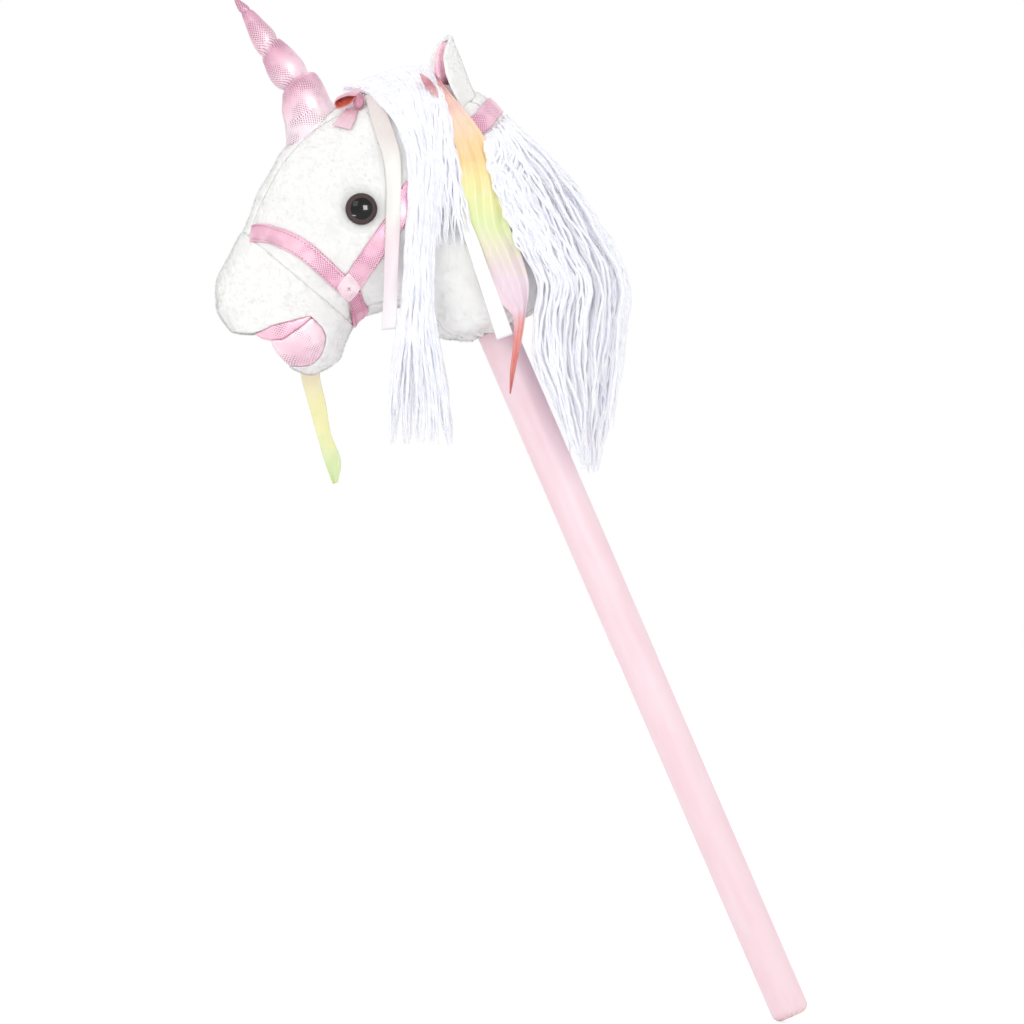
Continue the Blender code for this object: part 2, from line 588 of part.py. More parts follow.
def add_pole_and_fixings():
    """The pole, the disc screwed on its top, and the liner sock and tie round it."""
    radius = POLE_DIAMETER / 2
    screw = SCREW_SHANK_DIAMETER / 2
    hole = screw + GAP
    depth = SCREW_LENGTH - STOP_DISC_THICKNESS + 0.002
    rounding = [(radius - POLE_FOOT_ROUNDING * (1 - math.cos(turn)),
                 -POLE_BELOW_GRIP + POLE_FOOT_ROUNDING * (1 - math.sin(turn)))
                for turn in np.linspace(0, math.pi / 2, 6)]
    profile = [(0.0, POLE_TOP - depth), (hole, POLE_TOP - depth), (hole, POLE_TOP),
               (radius - POLE_TOP_CHAMFER, POLE_TOP), (radius, POLE_TOP - POLE_TOP_CHAMFER)]
    add_piece("pole", *turned(profile + rounding + [(0.0, -POLE_BELOW_GRIP)], 32),
              (PINK_PAINT, 0.55, 0.0))

    disc = STOP_DISC_DIAMETER / 2
    base, top = POLE_TOP + GAP, POLE_TOP + GAP + STOP_DISC_THICKNESS
    edge = STOP_DISC_CHAMFER
    add_piece("stop_disc", *turned_ring(
        [(hole, base), (disc - edge, base), (disc, base + edge), (disc, top - edge),
         (disc - edge, top), (hole, top)], 24), (PALE_WOOD, 0.7, 0.0))
    head = SCREW_HEAD_DIAMETER / 2
    add_piece("stop_screw", *turned(
        [(0.0, top + GAP - SCREW_LENGTH), (screw, top + GAP - SCREW_LENGTH + 2 * screw),
         (screw, top + GAP), (head, top + GAP), (head * 0.8, top + GAP + SCREW_HEAD_HEIGHT),
         (0.0, top + GAP + SCREW_HEAD_HEIGHT)], 12), (STEEL, 0.35, 1.0))

    inside, outside = LINER_RADIUS - LINER_WALL, LINER_RADIUS
    low, high = NECK_HEM_HEIGHT, POLE_TOP - GAP
    add_piece("pole_liner", *turned_ring(
        [(inside, low), (outside, low), (outside, high), (inside, high)], 24),
        (LINER_WHITE, 0.95, 0.0))

    cord = NECK_TIE_DIAMETER / 2
    angles = np.arange(8) * math.pi / 4
    reach, rise = LINER_RADIUS + GAP + cord, NECK_HEM_HEIGHT + NECK_TIE_RISE
    add_piece("neck_tie", *turned_ring(
        [(reach + cord * math.cos(a), rise + cord * math.sin(a)) for a in angles], 24),
        (TIE_WHITE, 0.8, 0.0))


def bore_fillings(head, neck):
    """Room in the filling for the liner, the disc, the screw's head and the tie."""
    bore = LINER_RADIUS + GAP
    disc = STOP_DISC_DIAMETER / 2 + GAP
    tie = bore + NECK_TIE_DIAMETER + GAP
    tie_height = NECK_HEM_HEIGHT + NECK_TIE_RISE
    roof = POLE_TOP + STOP_DISC_THICKNESS + SCREW_HEAD_HEIGHT + 4 * GAP
    cutter = add_cutter("pole_bore", *turned(
        [(0.0, 0.0), (tie, 0.0), (tie, tie_height + NECK_TIE_DIAMETER / 2 + GAP),
         (bore, tie_height + NECK_TIE_DIAMETER), (bore, POLE_TOP - GAP), (disc, POLE_TOP - GAP),
         (disc, roof), (0.0, roof)], 24))
    cut(head, cutter)
    cut(neck, cutter)


def prism(outline, half_depth):
    """A side-view outline carried straight across the head."""
    outline = np.asarray(outline, float)
    rings = np.empty((2, len(outline), 3))
    for ring, depth in zip(rings, (-half_depth, half_depth)):
        ring[:, 0], ring[:, 1], ring[:, 2] = outline[:, 0], depth, outline[:, 1]
    return closed_rings(rings)


def shrunk(outline, by):
    """A closed side-view outline with every edge moved inwards by the same distance."""
    points = np.asarray(outline, float)
    ahead = np.roll(points, -1, axis=0) - points
    ahead /= np.linalg.norm(ahead, axis=1, keepdims=True)
    behind = np.roll(ahead, 1, axis=0)
    area = np.cross(points, np.roll(points, -1, axis=0)).sum()
    turn = np.sign(area)
    inward = turn * np.stack([-(ahead + behind)[:, 1], (ahead + behind)[:, 0]], axis=1)
    inward /= np.linalg.norm(inward, axis=1, keepdims=True)
    half_turn = np.sqrt(np.maximum((1 + (ahead * behind).sum(axis=1)) / 2, 0.1))
    return points + inward * by / half_turn[:, None]


def add_mouth(muzzle_skin, muzzle_filling):
    """The open mouth: its foil roof and lower lip fill a slot through skin and filling."""
    muzzle, _, _, around = panel_stations()
    whole = np.concatenate([part[:-1] for part in around])
    width = HEAD_WIDEST + 0.02
    foil = (FOIL_PINK, 0.35, 0.3)
    crease, top, bottom = list(LIP_CREASE), list(MOUTH_TOP), list(MOUTH_BOTTOM)
    roof_outline = crease + top[::-1] + list(ROOF_FRONT)
    lip_outline = crease[::-1] + list(LIP_FRONT) + bottom
    opening = bottom[::-1] + list(MUZZLE_FRONT) + top + crease[-1:]
    for name, outline, grow in (("mouth_roof", roof_outline, -MOUTH_ROOF_RECESS),
                                ("lower_lip", lip_outline, LOWER_LIP_BULGE)):
        form = add_cutter(name + "_form", *closed_rings(
            skin(muzzle[1:, None], whole[None, :], grow)))
        obj = add_piece(name, *prism(shrunk(outline, MOUTH_CLEARANCE), width), foil)
        cut(obj, form, "INTERSECT")
    slot = add_cutter("mouth_slot", *prism(opening, width + 0.01))
    cut(muzzle_skin, slot)
    cut(muzzle_filling, slot)


def add_eyes(panels, head_filling):
    """Safety eyes: a domed eye on a shank through the plush, held by a washer inside."""
    where, angle = side_angle(*np.array(EYE_PLACE)[:, None])
    radius, shank = EYE_DIAMETER / 2, EYE_SHANK_DIAMETER / 2
    washer = EYE_WASHER_DIAMETER / 2
    bend = section(where)[2][0]
    washer_depth = SKIN_THICKNESS + washer**2 / (2 * (bend - SKIN_THICKNESS)) + 2 * GAP
    for name, side, panel in (("left", 1, "skin_left_side"), ("right", -1, "skin_right_side")):
        place = skin(where, side * angle)[0]
        axis = skin_normal(where, side * angle)[0]
        arc = np.linspace(0.0, math.pi / 2, 7)
        dome = [(radius * math.sin(turn), EYE_EDGE + (EYE_HEIGHT - EYE_EDGE) * math.cos(turn))
                for turn in arc]
        profile = dome + [(radius, 0.0), (shank, 0.0), (shank, -EYE_SHANK_LENGTH),
                          (0.0, -EYE_SHANK_LENGTH)]
        seat = place + axis * GAP
        add_piece("eye_" + name, *turned(profile, 24, seat, axis), (EYE_BROWN, 0.08, 0.0))
        top, low = -washer_depth, -washer_depth - EYE_WASHER_THICKNESS
        hole = shank + GAP
        add_piece("eye_washer_" + name, *turned_ring(
            [(hole, low), (washer, low), (washer, top), (hole, top)], 20, place, axis),
            (WASHER_WHITE, 0.5, 0.0))
        through = add_cutter("eye_hole_" + name, *turned(
            [(0.0, -0.02), (hole, -0.02), (hole, 0.02), (0.0, 0.02)], 16, place, axis))
        cut(panels[panel], through)
        pocket = add_cutter("eye_pocket_" + name, *turned(
            [(0.0, -EYE_SHANK_LENGTH - 2 * GAP), (hole, -EYE_SHANK_LENGTH - 2 * GAP),
             (hole, low - GAP), (washer + GAP, low - GAP), (washer + GAP, 0.02), (0.0, 0.02)],
            20, place, axis))
        cut(head_filling, pocket)


def horn_slant(height):
    """Slope of the horn's rings, which follows the threads."""
    slopes = np.tan(np.radians(HORN_THREAD_SLANTS))
    return np.interp(height, (0.0, *HORN_THREAD_HEIGHTS), (0.0, *slopes))


def horn_rings(profile, root):
    """Rings of the horn through (height, radius) points, on its bent and slanted spine."""
    heights, radii = np.asarray(profile, float).T
    spine = np.asarray(HORN_SPINE)
    shift = np.interp(heights, spine[:, 0], spine[:, 1])
    angles = np.arange(HORN_SIDES) * 2 * math.pi / HORN_SIDES
    rings = np.empty((len(heights), HORN_SIDES, 3))
    rings[..., 0] = radii[:, None] * np.cos(angles)
    rings[..., 1] = radii[:, None] * np.sin(angles)
    rings[..., 2] = heights[:, None] + rings[..., 0] * horn_slant(heights)[:, None]
    rings[..., 0] += shift[:, None]
    return rings + root


def add_horn():
    """A stuffed foil horn, drawn in by three turns of thread, open below on the plush."""
    root = skin(np.array([HORN_SECTION]), np.array([0.0]))[0] - (0, 0, HORN_ROOT_DEPTH)
    down = (0.0, 0.0, -1.0)
    outer = horn_rings(HORN_PROFILE, root)
    angles = np.arange(HORN_SIDES) * 2 * math.pi / HORN_SIDES
    reach = np.stack([np.cos(angles), np.sin(angles), 0 * angles], axis=1)
    hem = root + reach * HORN_BASE_RADIUS + (0, 0, 0.022)
    hem = drop_onto_head(hem, down, 2 * GAP)
    outer = np.concatenate([hem[None], outer])
    inner = horn_rings([(height, radius + GAP) for height, radius in HORN_FILLING_PROFILE], root)
    sill = drop_onto_head(inner[0] + (0, 0, 0.012), down, 2 * GAP)
    inner = np.concatenate([sill[None], inner])
    tip = horn_rings([(HORN_TIP_HEIGHT, 0.0)], root)[0, :1]
    roof = inner[-1:].mean(axis=1) + (0, 0, 0.002)
    sides = HORN_SIDES
    count = len(outer) * sides
    points = np.concatenate([outer.reshape(-1, 3), inner.reshape(-1, 3), tip, roof])
    faces = grid_faces(len(outer), sides, 0, True)
    faces += [face[::-1] for face in grid_faces(len(inner), sides, count, True)]
    top, ceiling = count + len(inner) * sides, count + len(inner) * sides + 1
    for side in range(sides):
        after = (side + 1) % sides
        faces.append((side, after, count + after, count + side))
        faces.append((top, (len(outer) - 1) * sides + side, (len(outer) - 1) * sides + after))
        rim = count + (len(inner) - 1) * sides
        faces.append((ceiling, rim + after, rim + side))
    add_piece("horn_cover", points, faces, (FOIL_PINK, 0.3, 0.35))

    core = horn_rings(HORN_FILLING_PROFILE, root)
    middle = core[:1].mean(axis=1)
    foot = [drop_onto_head(middle + (core[0] - middle) * share + (0, 0, 0.012), down, 3 * GAP)
            for share in (0.05, 0.4, 0.75, 1.0)]
    core = np.concatenate([np.array(foot), core])
    add_piece("horn_filling", *closed_rings(core), (FILLING_WHITE, 1.0, 0.0))

    thread = HORN_THREAD_DIAMETER / 2
    heights, radii = np.asarray(HORN_PROFILE).T
    turns = np.arange(6) * math.pi / 3
    for number, height in enumerate(HORN_THREAD_HEIGHTS, 1):
        reach = np.interp(height, heights, radii) + thread + 2 * GAP
        rings = [horn_rings([(height, reach + thread * math.cos(turn))], root)[0]
                 + (0, 0, thread * math.sin(turn)) for turn in turns]
        rings = np.array(rings).transpose(1, 0, 2)
        faces = []
        for side in range(sides):
            ahead = (side + 1) % sides
            for here in range(6):
                after = (here + 1) % 6
                faces.append((side * 6 + here, side * 6 + after,
                              ahead * 6 + after, ahead * 6 + here))
        add_piece(f"horn_thread_{number}", rings.reshape(-1, 3), faces, (FOIL_PINK, 0.6, 0.0))


def ear_axes(side):
    """Root, direction, open side and width direction of one ear; side is 1 for the left."""
    angle = side * math.radians(EAR_ANGLE)
    root = skin(np.array([EAR_SECTION]), np.array([angle]))[0]
    lean, splay = math.radians(EAR_LEAN), math.radians(EAR_SPLAY)
    up = np.array([math.sin(lean), -side * math.sin(splay), math.cos(lean)])
    up /= np.linalg.norm(up)
    turn = math.radians(EAR_TURN)
    ahead = np.array([-math.cos(turn), -side * math.sin(turn), 0.0])
    ahead -= up * (ahead @ up)
    ahead /= np.linalg.norm(ahead)
    return root - ahead * EAR_CURL_RADIUS, up, ahead, np.cross(up, ahead)


def ear_half_width(height):
    """Half width of the flat leaf: straight to its widest, then rounded to the tip."""
    share = np.asarray(height, float) / EAR_HEIGHT
    low = EAR_ROOT_HALF_WIDTH + (EAR_HALF_WIDTH - EAR_ROOT_HALF_WIDTH) * share / EAR_WIDEST
    high = np.clip((share - EAR_WIDEST) / (1 - EAR_WIDEST), 0, 1)
    return np.where(share < EAR_WIDEST, low, EAR_HALF_WIDTH * np.sqrt(1 - high**2))


def ear_leaf(axes, heights, across, depth, border=0.0):
    """Points of the curled leaf at a depth inside its plush face.

    The leaf bends round a line in front of its back edge: a point at arc length s from the
    middle turns by s over the curl radius, which opens from root to tip. Past the bend, each
    flank runs straight.
    """
    back, up, ahead, aside = axes
    heights = np.asarray(heights, float)[:, None]
    share = heights / EAR_HEIGHT
    curl = EAR_CURL_RADIUS + (EAR_TIP_CURL_RADIUS - EAR_CURL_RADIUS) * share
    width = np.maximum(ear_half_width(heights) - border, 0.0012)
    reach = across[None, :] * width
    bend = math.radians(EAR_BEND)
    turn = np.clip(reach / curl, -bend, bend)
    straight = np.abs(reach) - curl * np.abs(turn)
    radius = curl - depth
    forward = curl - radius * np.cos(turn) + straight * math.sin(bend)
    sideways = radius * np.sin(turn) + np.sign(reach) * straight * math.cos(bend)
    return (back + up * heights[..., None] + ahead * forward[..., None]
            + aside * sideways[..., None])


def add_ears():
    """Each ear: a sewn root on the head, and a plush leaf with a foil lining that folds back."""
    across = np.linspace(-1, 1, 13)
    lining_depth = EAR_THICKNESS + GAP
    lining_back = lining_depth + EAR_LINING_THICKNESS
    leaf = EAR_FOLD_HEIGHT + GAP + (EAR_HEIGHT - EAR_FOLD_HEIGHT - GAP) * np.array(
        (0.0, 0.2, 0.4, 0.6, 0.78, 0.92, 1.0))
    lining = EAR_FOLD_HEIGHT + GAP + (EAR_HEIGHT - EAR_LINING_BORDER
                                      - EAR_FOLD_HEIGHT - GAP) * np.array(
        (0.0, 0.25, 0.5, 0.75, 0.92))
    hinges = {}
    for name, side in (("left", 1), ("right", -1)):
        axes = ear_axes(side)
        back, up, _, aside = axes
        hinge = back + up * (EAR_FOLD_HEIGHT + GAP / 2)
        add_piece(f"ear_{name}_outer", *wall_between(
            ear_leaf(axes, leaf, across, 0.0), ear_leaf(axes, leaf, across, EAR_THICKNESS)),
            (PLUSH_WHITE, 0.95, 0.0), hinge)
        add_piece(f"ear_{name}_lining", *wall_between(
            ear_leaf(axes, lining, across, lining_depth, EAR_LINING_BORDER),
            ear_leaf(axes, lining, across, lining_back, EAR_LINING_BORDER)),
            (FOIL_PINK, 0.35, 0.3), hinge)
        layers = []
        for depth in (0.0, lining_back):
            rim = ear_leaf(axes, [EAR_FOLD_HEIGHT], across, depth)[0]
            foot = drop_onto_head(rim, -up, 3 * GAP)
            layers.append(np.stack([foot, (foot + rim) / 2, rim]))
        add_piece(f"ear_{name}_root", *wall_between(*layers), (PLUSH_WHITE, 0.95, 0.0))
        hinges[f"ear_{name}_fold"] = (hinge, -aside)
    return hinges


def strap_solid(path, width, lift, thickness, steps):
    """A flat strap that follows (section, angle) points and lies on the plush all across."""
    path = np.asarray(path, float)
    where = np.linspace(0, len(path) - 1, steps)
    found = smooth_rows(path, where)
    middle = skin(found[:, 0], found[:, 1])
    normal = skin_normal(found[:, 0], found[:, 1])
    along = np.gradient(middle, axis=0)
    across = np.cross(normal, along)
    across /= np.linalg.norm(across, axis=1, keepdims=True)
    nudge = 0.02
    by_section = (skin(found[:, 0] + nudge, found[:, 1]) - middle) / nudge
    by_angle = (skin(found[:, 0], found[:, 1] + nudge) - middle) / nudge
    shares = np.linspace(-0.5, 0.5, 5) * width
    base = np.stack([by_section, by_angle], axis=-1)
    turn = np.array([np.linalg.lstsq(each, way, rcond=None)[0]
                     for each, way in zip(base, across)])
    spots = found[:, None] + turn[:, None] * shares[None, :, None]
    layers = [skin(spots[..., 0], spots[..., 1], height) for height in (lift + thickness, lift)]
    return wall_between(*layers)


def add_bridle():
    """Foil straps sewn on the plush: nosebands, headstall over the crest, chin strap, patches."""
    foil = (FOIL_PINK, 0.35, 0.3)
    noseband = np.stack(side_angle(*np.array(NOSEBAND_PATH).T), axis=1)
    headstall = np.stack(side_angle(*np.array(HEADSTALL_PATH).T), axis=1)
    mirror = np.array([1.0, -1.0])
    over = np.concatenate([headstall, [[HEADSTALL_CREST_SECTION, 0.0]],
                           headstall[::-1] * mirror])
    chin = np.stack(side_angle(*np.array(CHIN_STRAP_START)[:, None]), axis=1)
    under = np.array([[CHIN_STRAP_SECTION, math.pi]])
    turned_chin = np.array([[chin[0, 0], 2 * math.pi - chin[0, 1]]])
    middle = (chin + under) / 2
    turned_middle = (turned_chin + under) / 2
    add_piece("headstall", *strap_solid(over, HEADSTALL_WIDTH, STRAP_LIFT,
                                        STRAP_THICKNESS, 30), foil)
    add_piece("chin_strap", *strap_solid(
        np.concatenate([chin, middle, under, turned_middle, turned_chin]),
        CHIN_STRAP_WIDTH, STRAP_LIFT + GAP, STRAP_THICKNESS, 13), foil)
    where, angle = side_angle(*np.array(PATCH_PLACE)[:, None])
    patch_lift = STRAP_LIFT + STRAP_THICKNESS + 2 * GAP
    for name, side in (("left", 1), ("right", -1)):
        path = noseband * (1, side)
        add_piece(f"noseband_{name}", *strap_solid(path, NOSEBAND_WIDTH, STRAP_LIFT,
                                                   STRAP_THICKNESS, 10), foil)
        place = skin(where, side * angle)[0]
        normal = skin_normal(where, side * angle)[0]
        long_way = np.array([0.35, 0.0, 0.94])
        long_way -= normal * (long_way @ normal)
        long_way /= np.linalg.norm(long_way)
        short_way = np.cross(normal, long_way)
        corners = np.array([long_way * PATCH_HALF_LENGTH, short_way * PATCH_HALF_WIDTH,
                            -long_way * PATCH_HALF_LENGTH, -short_way * PATCH_HALF_WIDTH])
        rings = np.array([place + corners + normal * (patch_lift + height)
                          for height in (0.0, PATCH_THICKNESS)])
        add_piece(f"strap_patch_{name}", *closed_rings(rings), (PALE_FOIL, 0.3, 0.3))


def draped_solid(rows, lift, thickness, steps, across, side=1, crown=False, sewn=False):
    """A ribbon or lock that lies on the head and, below it, hangs straight.

    The rows give its front and back edges in the side view. Its inner face stands clear of
    the plush by the lift, and from row to row never comes back in, as hanging cloth does not.
    The top edge of a sewn ribbon is close to the plush. With crown set, the piece is a lock,
    and swells in a half ellipse between its edges.
    """
    rows = smooth_rows(rows, np.linspace(0, len(rows) - 1, steps))
    shares = np.linspace(0, 1, across)
    x = rows[:, None, 0] * (1 - shares) + rows[:, None, 2] * shares
    z = rows[:, None, 1] * (1 - shares) + rows[:, None, 3] * shares
    inner = half_width_at(x, z, lift)
    if sewn:
        inner[0] = half_width_at(x[0], z[0], SEWN_LIFT)
    inner = np.maximum(np.maximum.accumulate(inner, axis=0), GAP)
    deep = thickness * (np.sqrt(np.maximum(1 - (2 * shares - 1) ** 2, 0)) * 0.8 + 0.2
                        if crown else np.ones(across))
    layers = []
    for depth in (inner + deep, inner):
        layers.append(np.stack([x, -side * depth, z], axis=-1))
    return wall_between(*layers)


def add_mane_and_forelock():
    """Yarn: a roll over the poll, two long locks, a short one, and the mane's two sides."""
    yarn = (YARN_WHITE, 0.9, 0.0)
    where = np.linspace(*ROLL_SECTIONS, 8)
    angles = np.radians(np.linspace(-ROLL_ANGLE, ROLL_ANGLE, 11))
    swell = np.sin(np.linspace(0, math.pi, 8))[:, None] * np.cos(angles * 0.9)[None, :]
    layers = [skin(where[:, None], angles[None, :], 2 * GAP + 0.0015)
              + skin_normal(where[:, None], angles[None, :]) * (swell * ROLL_HEIGHT)[..., None],
              skin(where[:, None], angles[None, :], 2 * GAP)]
    add_piece("forelock_roll", *wall_between(*layers), yarn)
    add_piece("forelock_left", *draped_solid(NEAR_LOCK, YARN_LIFT, LOCK_DEPTH, 18, 6, 1, True),
              yarn)
    add_piece("forelock_right", *draped_solid(NEAR_LOCK, YARN_LIFT, LOCK_DEPTH, 18, 6, -1, True),
              yarn)
    add_piece("short_lock_left", *draped_solid(SHORT_LOCK, YARN_LIFT, SHORT_LOCK_DEPTH,
                                               10, 5, 1, True), yarn)
    crest = np.stack([np.linspace(*MANE_TAPE_SECTIONS, 6), np.zeros(6)], axis=1)
    add_piece("mane_tape", *strap_solid(crest, MANE_TAPE_WIDTH, STRAP_LIFT,
                                        MANE_TAPE_THICKNESS, 10), (TIE_WHITE, 0.9, 0.0))
    room = add_cutter("mane_tape_room", *strap_solid(
        crest, MANE_TAPE_WIDTH + 2 * GAP, STRAP_LIFT - GAP, MANE_TAPE_THICKNESS + 2 * GAP, 10))
    for name, side in (("left", 1), ("right", -1)):
        half = add_piece(f"mane_{name}", *draped_solid(MANE, YARN_LIFT, MANE_DEPTH, 20, 9,
                                                       side, True), yarn)
        cut(half, room)


def add_ribbons():
    """Satin ribbons, and the hinges at the knots of those that hang free."""
    hinges = {}
    for name, rows, lift, side, colour, steps, joint in (
            ("ribbon_cheek", CHEEK_RIBBON, RIBBON_LIFT, 1, RIBBON_CREAM, 14, "cheek_swing"),
            ("ribbon_rainbow", RAINBOW_RIBBON, RIBBON_LIFT, 1, RIBBON_YELLOW, 12, None),
            ("ribbon_rainbow_tail", RAINBOW_TAIL, RIBBON_LIFT, 1, RIBBON_SALMON, 14,
             "tail_swing"),
            ("ribbon_white", WHITE_RIBBON, WHITE_RIBBON_LIFT, 1, RIBBON_CREAM, 8,
             "tail_swing"),
            ("ribbon_far", FAR_RIBBON, RIBBON_LIFT, -1, RIBBON_LIME, 20, "far_swing"),
            ("bow_tail", BOW_TAIL, 2 * GAP, 1, RIBBON_SALMON, 5, None)):
        pivot = np.zeros(3)
        if joint and joint not in hinges:
            front, back = np.array(rows[0][:2]), np.array(rows[0][2:])
            middle = (front + back) / 2
            hinge_lift = TAIL_HINGE_LIFT if joint == "tail_swing" else SEWN_LIFT
            depth = half_width_at(middle[:1], middle[1:], hinge_lift)[0]
            edge = side * (front - back) / np.linalg.norm(front - back)
            place = np.array([middle[0], -side * depth, middle[1]])
            hinges[joint] = (place, np.array([edge[0], 0.0, edge[1]]))
        if joint:
            pivot = hinges[joint][0]
        points, faces = draped_solid(rows, lift, RIBBON_THICKNESS, steps, 4, side,
                                     sewn=name != "ribbon_white")
        add_piece(name, points, faces, (colour, 0.45, 0.0), pivot)

    middle = skin(np.array([BOW_SECTION]), np.array([math.radians(BOW_ANGLE)]))[0]
    normal = skin_normal(np.array([BOW_SECTION]), np.array([math.radians(BOW_ANGLE)]))[0]
    centre = middle + normal * BOW_RISE + (0, -BOW_WIDTH / 2, 0)
    turns = np.arange(16) * math.pi / 8
    loops = []
    for shrink in (0.0, RIBBON_THICKNESS):
        ring = np.stack([(BOW_LENGTH / 2 - shrink) * np.cos(turns), 0 * turns,
                         (BOW_RISE / 2 - shrink) * np.sin(turns)], axis=1)
        loops.append(np.array([centre + ring + (0, shift, 0)
                               for shift in (-BOW_WIDTH / 2, BOW_WIDTH / 2)]))
    outside = loops[0].reshape(-1, 3)
    fall = np.linalg.norm(drop_onto_head(outside, -normal, 0.0) - outside, axis=1)
    loops = [loop - normal * fall[fall > 0].min() for loop in loops]
    add_piece("bow_loop", *wall_between(*loops, closed=True), (RIBBON_RED, 0.45, 0.0))
    return hinges


def tell(hinges):
    """Prints each hinge's place in the world, where the object's record states it."""
    bpy.context.view_layer.update()
    matrix = FRAME.matrix_world
    for name, (place, axis) in hinges.items():
        axis = matrix.to_3x3() @ Vector(axis)
        print(name, [round(v, 5) for v in matrix @ Vector(place)], [round(v, 5) for v in axis])
    foot = matrix @ Vector((0, 0, -POLE_BELOW_GRIP))
    out = matrix.to_3x3() @ Vector((0, 0, -1))
    print("pole_foot", [round(v, 5) for v in foot], [round(v, 5) for v in out])


WELD = 1e-6
SMOOTH_ANGLE = 40.0
LINER_RADIUS = POLE_DIAMETER / 2 + GAP + LINER_WALL
POLE_TOP = POLE_ABOVE_GRIP
ROWS = head_rows()
LAST_ROW = len(ROWS) - 1
HEAD_WIDEST = float(ROWS[:, 4].max())

clear_scene()
FRAME = make_frame()
add_pole_and_fixings()
MUZZLE_SKIN, PANELS = add_skins()
MUZZLE_FILLING, HEAD_FILLING, NECK_FILLING = add_fillings()
bore_fillings(HEAD_FILLING, NECK_FILLING)
add_mouth(MUZZLE_SKIN, MUZZLE_FILLING)
add_eyes(PANELS, HEAD_FILLING)
add_horn()
EAR_HINGES = add_ears()
add_bridle()
add_mane_and_forelock()
tell({**EAR_HINGES, **add_ribbons()})
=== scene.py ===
# %% [markdown]
# # A hobby horse with a unicorn's head
#
# The toy is a stuffed plush head on a painted pole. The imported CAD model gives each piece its
# place and size. This file dresses it: every visible surface is worked out as an array of
# points, and gets the cloth, yarn, ribbon or paint that the real one has.

import functools
import math

import bmesh
import bpy
import numpy as np
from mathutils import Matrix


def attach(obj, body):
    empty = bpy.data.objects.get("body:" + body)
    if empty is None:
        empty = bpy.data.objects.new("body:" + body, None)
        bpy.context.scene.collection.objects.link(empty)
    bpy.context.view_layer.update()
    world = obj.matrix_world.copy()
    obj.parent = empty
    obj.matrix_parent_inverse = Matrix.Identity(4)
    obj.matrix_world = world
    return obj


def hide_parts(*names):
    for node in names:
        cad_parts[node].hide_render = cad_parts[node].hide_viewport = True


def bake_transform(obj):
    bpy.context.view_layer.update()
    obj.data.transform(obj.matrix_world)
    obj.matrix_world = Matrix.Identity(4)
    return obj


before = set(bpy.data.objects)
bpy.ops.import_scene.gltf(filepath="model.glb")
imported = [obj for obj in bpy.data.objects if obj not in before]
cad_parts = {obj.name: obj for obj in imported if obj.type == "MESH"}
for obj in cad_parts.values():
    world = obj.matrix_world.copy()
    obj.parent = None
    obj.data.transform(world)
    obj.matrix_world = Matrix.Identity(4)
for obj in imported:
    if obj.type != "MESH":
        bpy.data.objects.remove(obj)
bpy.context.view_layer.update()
MM = 0.001
LEAN = math.radians(23.4)  # the pole leans back by this, as the toy is ridden

# %% [markdown]
# Everything on this toy is easiest to describe in the upright frame of its pole, where Z runs
# up the pole and the horse looks along -X. One turn about Y then leans it all.


# %% From the pole's frame to the row's frame
def leaned(points):
    """Points of the pole's frame, turned about Y by the lean: x cos - z sin, x sin + z cos."""
    x, y, z = np.moveaxis(np.asarray(points, float), -1, 0)
    turn, rise = math.cos(LEAN), math.sin(LEAN)
    return np.stack([x * turn - z * rise, y, x * rise + z * turn], axis=-1)


def unit(vectors):
    return vectors / np.maximum(np.linalg.norm(vectors, axis=-1, keepdims=True), 1e-12)


# %% [markdown]
# A mesh is arrays too: points, then faces as rows of point numbers. A grid of points needs no
# list of faces by hand, because each quad is a corner and its three neighbours.


# %% Grids of points
def grid_faces(rows, columns, wrap=False):
    """Quads between points stored row by row, and the (row, column) of each corner."""
    row, column = np.meshgrid(np.arange(rows - 1), np.arange(columns - (not wrap)), indexing="ij")
    corner = np.stack([np.stack([row + i, column + j], axis=-1)
                       for i, j in ((0, 0), (0, 1), (1, 1), (1, 0))], axis=2).reshape(-1, 4, 2)
    return corner[..., 0] * columns + corner[..., 1] % columns, corner


# %% Meshes from arrays
def add_mesh(name, points, faces, uv=None, normals=None, groups=None):
    """A mesh object at the origin. Faces is a list of arrays, one for each count of corners.

    UV holds (faces, corners, 2) arrays for the first of these, and the rest lie at (0, 0).
    Normals are one vector for each point, and groups the material's number for each array.
    """
    mesh = bpy.data.meshes.new(name)
    mesh.vertices.add(len(points))
    mesh.vertices.foreach_set("co", np.asarray(points, np.float32).ravel())
    corners = np.concatenate([part.ravel() for part in faces])
    sizes = np.concatenate([np.full(len(part), part.shape[1]) for part in faces])
    mesh.loops.add(len(corners))
    mesh.loops.foreach_set("vertex_index", corners.astype(np.int32))
    mesh.polygons.add(len(sizes))
    mesh.polygons.foreach_set("loop_start", (np.cumsum(sizes) - sizes).astype(np.int32))
    if groups is not None:
        slots = np.concatenate([np.full(len(part), slot) if np.ndim(slot) == 0 else slot
                                for part, slot in zip(faces, groups)])
        mesh.polygons.foreach_set("material_index", slots.astype(np.int32))
    mesh.update(calc_edges=True)
    mesh.shade_smooth()
    if uv is not None:
        spots = [*uv, *(np.zeros((*part.shape, 2)) for part in faces[len(uv):])]
        flat = np.concatenate([part.reshape(-1, 2) for part in spots])
        layer = mesh.uv_layers.new(name="weave")
        layer.data.foreach_set("uv", flat.astype(np.float32).ravel())
    if normals is not None:
        mesh.normals_split_custom_set_from_vertices(np.asarray(normals, np.float32))
    obj = bpy.data.objects.new(name, mesh)
    bpy.context.scene.collection.objects.link(obj)
    return obj


